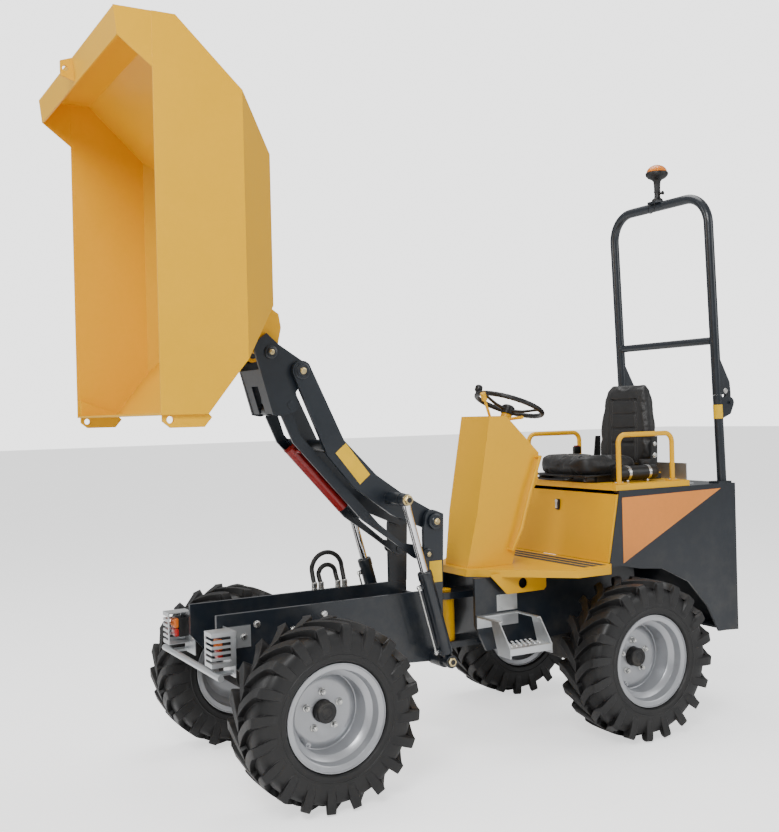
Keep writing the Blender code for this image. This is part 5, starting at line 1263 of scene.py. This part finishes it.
class DUMPER_OT_seat(Operator):
    """Vinyl seat: swollen cushion and backrest with sewn channels, on a black pan with levers"""

    bl_idname = "dumper.seat"
    bl_label = "Seat"

    def execute(self, context):
        low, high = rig.box("seat_cushion")
        middle = (low + high) / 2
        shape = bmesh.new()
        outline = []
        for turn in turns(64):
            x, y = math.cos(turn), math.sin(turn)
            outline.append((math.copysign(abs(x) ** 0.38, x), math.copysign(abs(y) ** 0.42, y)))
        rings = []
        for rise, share in ((0.0, 0.86), (0.006, 0.93), (0.02, 0.955), (0.045, 0.965), (0.062, 0.945),
                (0.072, 0.9), (0.078, 0.82)):
            ring = []
            for x, y in outline:
                lift = 0.01 * max(0.0, -y) * rise / 0.078 - 0.006 * max(0.0, y) * rise / 0.078
                ring.append(shape.verts.new((middle.x + x * share * 0.222, middle.y + y * share * 0.203,
                    low.z + 0.004 + rise + lift)))
            rings.append(ring)
        skin(shape, rings)
        cushion = self.soft(shape, "seat_cushion_pad")
        for vertex in cushion.data.vertices:
            x, y, z = vertex.co.x - middle.x, vertex.co.y - middle.y, vertex.co.z
            top = ramp(z - low.z - 0.055, 0.02)
            panel = ramp(0.125 - abs(x), 0.01) * ramp(0.15 - abs(y), 0.01)
            seam = groove(abs(abs(x) - 0.12), 0.007, 0.01) * (abs(y) < 0.165)
            cross = sum(groove(abs(y - place), 0.006, 0.006) for place in (-0.1, -0.035, 0.03,
                0.095)) * panel
            bolster = 0.008 * ramp(abs(x) - 0.12, 0.05)
            height = min(z - top * (seam + cross) + top * bolster, high.z + 0.006)
            vertex.co.z = max(height, low.z + 0.001)
        self.finish_soft(cushion, "seat_cushion")

        pan_low, pan_high = low, high
        low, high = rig.box("seat_back")
        foot = low.z - 0.08
        tall = high.z - foot
        middle_y, lean = low.y + 0.036, 0.02
        shape = bmesh.new()
        rings = []
        for share in (0.0, 0.04, 0.12, 0.3, 0.5, 0.7, 0.84, 0.93, 0.975, 1.0):
            height = foot + (tall - 0.012) * share
            half = 0.208 - 0.115 * max(0.0, share - 0.45) ** 1.25
            half -= 0.3 * max(0.0, share - 0.9) + 0.35 * max(0.0, 0.1 - share)
            deep = 0.03 - 0.1 * max(0.0, share - 0.93) - 0.12 * max(0.0, 0.05 - share)
            ring = []
            for turn in turns(48):
                x, y = math.cos(turn), math.sin(turn)
                x, y = math.copysign(abs(x) ** 0.45, x), math.copysign(abs(y) ** 0.6, y)
                ring.append(shape.verts.new((x * half, middle_y + lean * share + y * deep, height)))
            rings.append(ring)
        skin(shape, rings)
        back = self.soft(shape, "seat_back_pad")
        for vertex in back.data.vertices:
            x, y, z = vertex.co
            share = (z - foot) / tall
            front = ramp(middle_y + lean * share - y, 0.02)
            seam = groove(abs(abs(x) - 0.105 + 0.012 * share), 0.008, 0.011) * (0.06 < share < 0.8)
            top_seam = groove(abs(share - 0.79) * tall, 0.006, 0.009) * (abs(x) < 0.098)
            panel = ramp(0.094 - abs(x), 0.012)
            ribs = sum(groove(abs(share - place) * tall, 0.007, 0.007)
                for place in (0.28, 0.45, 0.62)) * panel
            bolster = 0.01 * ramp(abs(x) - 0.11, 0.05)
            vertex.co.y = y + front * (seam + top_seam + ribs) - front * bolster
        self.finish_soft(back, "seat_back")

        shape = bmesh.new()
        left, front, rear, level = 0.222, pan_low.y, pan_high.y, pan_low.z
        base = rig.box("engine_cover")[0].z + 0.0304
        slab(shape, (-0.2115, rear - 0.3315, base), (0.2115, rear + 0.1065, level - 0.0062), 0.001,
            segments=1)
        slab(shape, (-0.1615, rear + 0.0505, level - 0.008), (0.1615, rear + 0.0985, level + 0.103), 0.001,
            segments=1)
        slab(shape, (-left, front + 0.01, level - 0.006), (left, rear - 0.006, level + 0.0035), 0.003)
        for side in (-1, 1):
            slab(shape, (side * 0.185 - 0.012, front + 0.04, level - 0.03),
                (side * 0.185 + 0.012, rear - 0.02, level - 0.008), 0.002, finish=1)
        lever = [(x, front + y, level - drop) for x, y, drop in (
            (0.1, 0.03, 0.014), (0.1, -0.016, 0.02), (0.02, -0.022, 0.021), (-0.1, -0.022, 0.021),
            (-0.14, -0.012, 0.018), (-0.14, 0.03, 0.014))]
        tube(shape, curve_through(lever, 6), 0.0045, 10)
        for side in (-1, 1):
            bracket = [Vector((0, rear + y, level + z)) for y, z in (
                (-0.11, -0.004), (0.03, -0.004), (0.066, 0.05), (0.07, 0.19), (0.036, 0.19), (0.02, 0.07),
                (-0.06, 0.03))]
            prism(shape, bracket, X_AXIS * (side * 0.2255 - 0.003), X_AXIS * 0.006)
            for y, z, thread in ((0.048, 0.09, 0.012), (0.05, 0.15, 0.01)):
                bolt(shape, Vector((side * 0.2285, rear + y, level + z)), X_AXIS * side, thread, finish=2)
        for middle, blocks in (
            (Vector((-0.232, rear - 0.095, level + 0.105)),
             (((-0.004, -0.018, -0.1), (0.004, 0.018, -0.004), 0.002, 0),
              ((-0.009, -0.024, -0.01), (0.009, 0.024, 0.03), 0.004, 0),
              ((-0.006, -0.017, 0.028), (0.006, 0.017, 0.036), 0.002, 3))),
            (Vector((0.236, rear - 0.01, level + 0.05)),
             (((-0.006, -0.06, -0.026), (0.016, 0.034, 0.024), 0.006, 0),)),
        ):
            for near, far, round_off, finish in blocks:
                slab(shape, middle + Vector(near), middle + Vector(far), round_off, finish)
        add_piece("seat_pan", shape, "cover", "black", ["black_plastic", "slate_paint", "bright_zinc",
            "safety_red"])
        return {"FINISHED"}

    def soft(self, shape, name):
        piece = body_of(name, shape)
        swell(piece, sizes().cushion_swell)
        return piece

    def finish_soft(self, piece, node):
        piece.data.polygons.foreach_set("use_smooth", [True] * len(piece.data.polygons))
        piece.data.materials.append(finish_of("seat_vinyl"))
        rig.ride(piece, "cover")
        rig.slot(piece, "vinyl")
        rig.replaces(piece, node)
        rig.padded(piece, fill=0.8)


# ---- Hoses, lamps and small fittings -------------------------------------------


def outer_x(node, place):
    """How far out a node stands near a place seen from the side."""
    near = 0.03
    return max(abs(vertex.co.x) for vertex in NODES[node].data.vertices
        if math.hypot(vertex.co.y - place.y, vertex.co.z - place.z) < near)


class DUMPER_OT_hoses(Operator):
    """Hydraulic hose loops with swaged ends"""

    bl_idname = "dumper.hoses"
    bl_label = "Hoses"

    def execute(self, context):
        side = -0.168
        for name, front, rear, height in (("hose_loop_outer", 0.29, 0.45, 0.17),
                ("hose_loop_inner", 0.325, 0.415, 0.11)):
            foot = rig.box(name)[0].z
            reach = (rear - front) / 2
            crown = at(-0.194, (front + rear) / 2, foot + height - reach)
            path = [at(side, front, foot + rise) for rise in (0.001, 0.02)]
            path += arc(crown, reach, 180, 0, 9)
            path += [at(side, rear, foot + rise) for rise in (0.02, 0.001)]
            shape = bmesh.new()
            tube(shape, curve_through(path, 6), 0.011, 20)
            for y in (front, rear):
                lathe(shape, mm("0 14, 10 14, 10.5 12.5, 12 12.5, 14 13.5, 34 13.5, 36 11.2"),
                    at(side, y, foot), Z_AXIS, 24, finish=1)
            add_piece(f"{name}_run", shape, "front_half", "hose", ["hose_rubber", "bright_zinc"], [name])
        return {"FINISHED"}


class DUMPER_OT_lamps(Operator):
    """Front lamps: ribbed lenses in black housings behind the galvanised guards"""

    bl_idname = "dumper.lamps"
    bl_label = "Lamps"

    def execute(self, context):
        for side, sign in SIDES:
            low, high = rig.box(f"lamp_{side}")
            shape = bmesh.new()
            slab(shape, low + Vector((0.002, 0.022, 0.001)), high - Vector((0.002, 0.0, 0.001)), 0.004)
            split = low.z + (high.z - low.z) * 0.45
            for front, bottom, top, finish in ((0.001, split + 0.001, high.z - 0.003, 1),
                    (0.003, low.z + 0.003, split - 0.001, 2)):
                slab(shape, (low.x + 0.004, low.y + front, bottom), (high.x - 0.004, low.y + 0.0225, top),
                    0.006, finish, segments=3)
            for count in range(9):
                x = low.x + 0.009 + (high.x - low.x - 0.018) * count / 8
                tube(shape, [Vector((x, low.y + 0.0012, z)) for z in (split + 0.008, high.z - 0.01)],
                    0.0011, 8, finish=1)
            add_piece(f"lamp_{side}_lens", shape, "front_half", "lens",
                ["black_plastic", "lamp_orange", "lamp_red"], [f"lamp_{side}"])
            shape = bmesh.new()
            for z in (0.6, 0.68):
                bolt(shape, at(sign * 0.202, -0.3045, z), -Y_AXIS, 0.01)
            for y in (-0.262, -0.212):
                bolt(shape, at(sign * 0.1845, y, 0.655), X_AXIS * sign, 0.012)
            add_piece(f"lamp_{side}_bolts", shape, "front_half", "galvanised", ["bright_zinc"])
        return {"FINISHED"}


class DUMPER_OT_pins(Operator):
    """Pin ends with keeper bolts at the boom, link, skip and ram pivots"""

    bl_idname = "dumper.pins"
    bl_label = "Pivot Pins"

    def execute(self, context):
        for name, body, node, pivot, radius in (
            ("mast_pin_ends", "front_half", "mast_left", "lift", 0.024),
            ("mast_link_pin_ends", "front_half", "mast_left", "link_swing", 0.017),
            ("boom_tip_pin_ends", "boom_arm", "boom", "carrier_level", 0.024),
            ("skip_pin_ends", "skip_carrier", "headstock", "tip", 0.019),
        ):
            shape = bmesh.new()
            place = PIVOTS[pivot].copy()
            out = outer_x(node, place)
            for sign in (-1, 1):
                place.x = out * sign
                pin_end(shape, place, X_AXIS * sign, radius)
            add_piece(name, shape, body, "slate", ["slate_paint", "yellow_zinc"])
        for name, body, place in (
            ("lift_foot_nuts", "front_half", PIVOTS["lift_left_swing"]),
            ("lift_eye_nuts", "boom_arm", LIFT_EYE),
        ):
            shape = bmesh.new()
            for sign in (-1, 1):
                for steps, finish, washer_nut_or_thread in (
                    (32, 0, mm("0 25, 4 25, 5 23.5")),
                    (HEXAGON, 0, mm("4 21.5, 18 21.5, 20 19, 20 12.5, 10 12")),
                    (24, 1, mm("9 11.8, 21 11.8, 23 10")),
                ):
                    lathe(shape, washer_nut_or_thread, Vector((0.3125 * sign, place.y, place.z)),
                        X_AXIS * sign, steps, finish=finish)
            add_piece(name, shape, body, "galvanised", ["yellow_zinc", "cast_black"])
        shape = bmesh.new()
        for sign in (-1, 1):
            for y, z in ((-0.15, 0.7), (0.02, 0.655), (0.17, 0.705)):
                bolt(shape, at(0.1782 * sign, y, z), X_AXIS * sign, 0.014)
        add_piece("rail_bolts", shape, "front_half", "galvanised", ["bright_zinc"])
        return {"FINISHED"}


class DUMPER_OT_footplate_grip(Operator):
    """Boot-grip strips on the footplate, studs on the step, and the catch of the engine cover"""

    bl_idname = "dumper.footplate_grip"
    bl_label = "Footplate Grip"

    def execute(self, context):
        shape = bmesh.new()
        for y in (1.445, 1.497, 1.549):
            slab(shape, at(-0.44, y - 0.017, 0.825), at(0.44, y + 0.017, 0.8264), 0.0005, segments=1)
        add_piece("footplate_strips", shape, "rear_half", "black", ["boot_grip"])

        shape = bmesh.new()
        for row, x in enumerate((0.345, 0.375, 0.405, 0.435)):
            for count in range(8 - row % 2):
                y = 0.983 + 0.0265 * (count + 0.5 * (row % 2))
                lathe(shape, mm("-1 4.6, -1 8.2, 1.6 7.4, 2.2 6.2, 1.2 5"), at(x, y, 0.5), Z_AXIS, 12,
                    closed=True)
        add_piece("step_studs", shape, "rear_half", "galvanised", ["galvanised"])

        shape = bmesh.new()
        spot = at(-0.04, 1.659, 1.085)
        slab(shape, spot + Vector((-0.014, -0.007, -0.028)), spot + Vector((0.014, 0.006, 0.028)), 0.003)
        slab(shape, spot + Vector((-0.006, -0.013, -0.02)), spot + Vector((0.006, -0.004, 0.012)), 0.002,
            finish=1)
        lathe(shape, mm("-4 10, 4 9.5, 5 0"), spot + Vector((0, -0.007, 0.018)), -Y_AXIS, 20, finish=1)
        add_piece("panel_catch", shape, "rear_half", "black", ["black_plastic", "bright_zinc"])
        return {"FINISHED"}


STICKER = 0.0005  # thickness of a label


class DUMPER_OT_labels(Operator):
    """Blank bands, labels and the serial plate, with no lettering"""

    bl_idname = "dumper.labels"
    bl_label = "Blank Labels"

    def execute(self, context):
        for side, sign in SIDES:
            shape = bmesh.new()
            band = [at(0, 1.712, 1.14), at(0, 2.395, 1.15), at(0, 1.712, 0.815)]
            prism(shape, band, X_AXIS * (0.4002 * sign), X_AXIS * (STICKER * sign))
            add_piece(f"side_band_{side}", shape, "rear_half", "yellow", ["side_band"])

        def tag(name, body, middle, along, beside, half, out, finish="label_yellow", signs=(-1, 1)):
            """A rectangle about its middle, stuck on one side or on both."""
            shape = bmesh.new()
            corners = [middle + along * (half[0] * x) + beside * (half[1] * y)
                for x, y in ((-1, -1), (1, -1), (1, 1), (-1, 1))]
            for sign in signs:
                prism(shape, corners, X_AXIS * (out * sign), X_AXIS * (STICKER * sign))
            add_piece(name, shape, body, "yellow", [finish])

        tag("mast_labels", "front_half", at(0, 0.756, 0.84), Y_AXIS, Z_AXIS, (0.034, 0.05), 0.1782)
        along = (at(0, 0.443, 1.307) - at(0, 0.309, 1.471)).normalized()
        tag("boom_labels", "boom_arm", at(0, 0.3465, 1.362), along, X_AXIS.cross(along), (0.095, 0.034),
            0.1502)
        shape = bmesh.new()
        for sign in (-1, 1):
            post = at(0.366 * sign, hoop_y(1.553), 1.553)
            lean = (at(0, hoop_y(1.6), 1.6) - at(0, hoop_y(1.5), 1.5)).normalized()
            lathe(shape, mm("-37 25.2, -37 25.7, 37 25.7, 37 25.2"), post, lean, 40, closed=True)
        add_piece("post_labels", shape, "rear_half", "yellow", ["label_yellow"])
        tag("serial_plate", "rear_half", at(0, 1.135, 0.661), Y_AXIS, Z_AXIS, (0.06, 0.039), 0.2122,
            "serial_plate", (1,))
        return {"FINISHED"}


# ---- Panel and registration ----------------------------------------------------


class DUMPER_PT_sidebar(Panel):
    """Lists the machine's sizes, colours and making steps"""

    bl_idname = "DUMPER_PT_sidebar"
    bl_label = "Site Dumper"
    bl_space_type = "VIEW_3D"
    bl_region_type = "UI"
    bl_category = "Dumper"

    def draw(self, context):
        column = self.layout.column()
        for held in (context.scene.dumper_sizes, context.scene.dumper_colours):
            for key in held.__annotations__:
                column.prop(held, key)
        for step in STEPS:
            column.operator(step.bl_idname)


STEPS = tuple(kind for name, kind in list(globals().items()) if name.startswith("DUMPER_OT_"))
CLASSES = (DumperSizes, DumperColours, *STEPS, DUMPER_PT_sidebar)


def register():
    for kind in CLASSES:
        bpy.utils.register_class(kind)
    bpy.types.Scene.dumper_sizes = PointerProperty(type=DumperSizes)
    bpy.types.Scene.dumper_colours = PointerProperty(type=DumperColours)


def unregister():
    del bpy.types.Scene.dumper_colours
    del bpy.types.Scene.dumper_sizes
    for kind in reversed(CLASSES):
        bpy.utils.unregister_class(kind)


def main():
    register()
    bpy.ops.dumper.finishes()
    bpy.ops.dumper.stage()
    for step in STEPS:
        if step.bl_idname not in ("dumper.finishes", "dumper.stage"):
            getattr(bpy.ops.dumper, step.bl_idname.split(".")[1])()
    with open("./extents.json", "w") as file:
        json.dump({"cad": [list(corner) for corner in CAD_BOX], "visual": [list(corner)
            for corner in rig.bounds()]}, file)


if __name__ == "__main__":
    main()
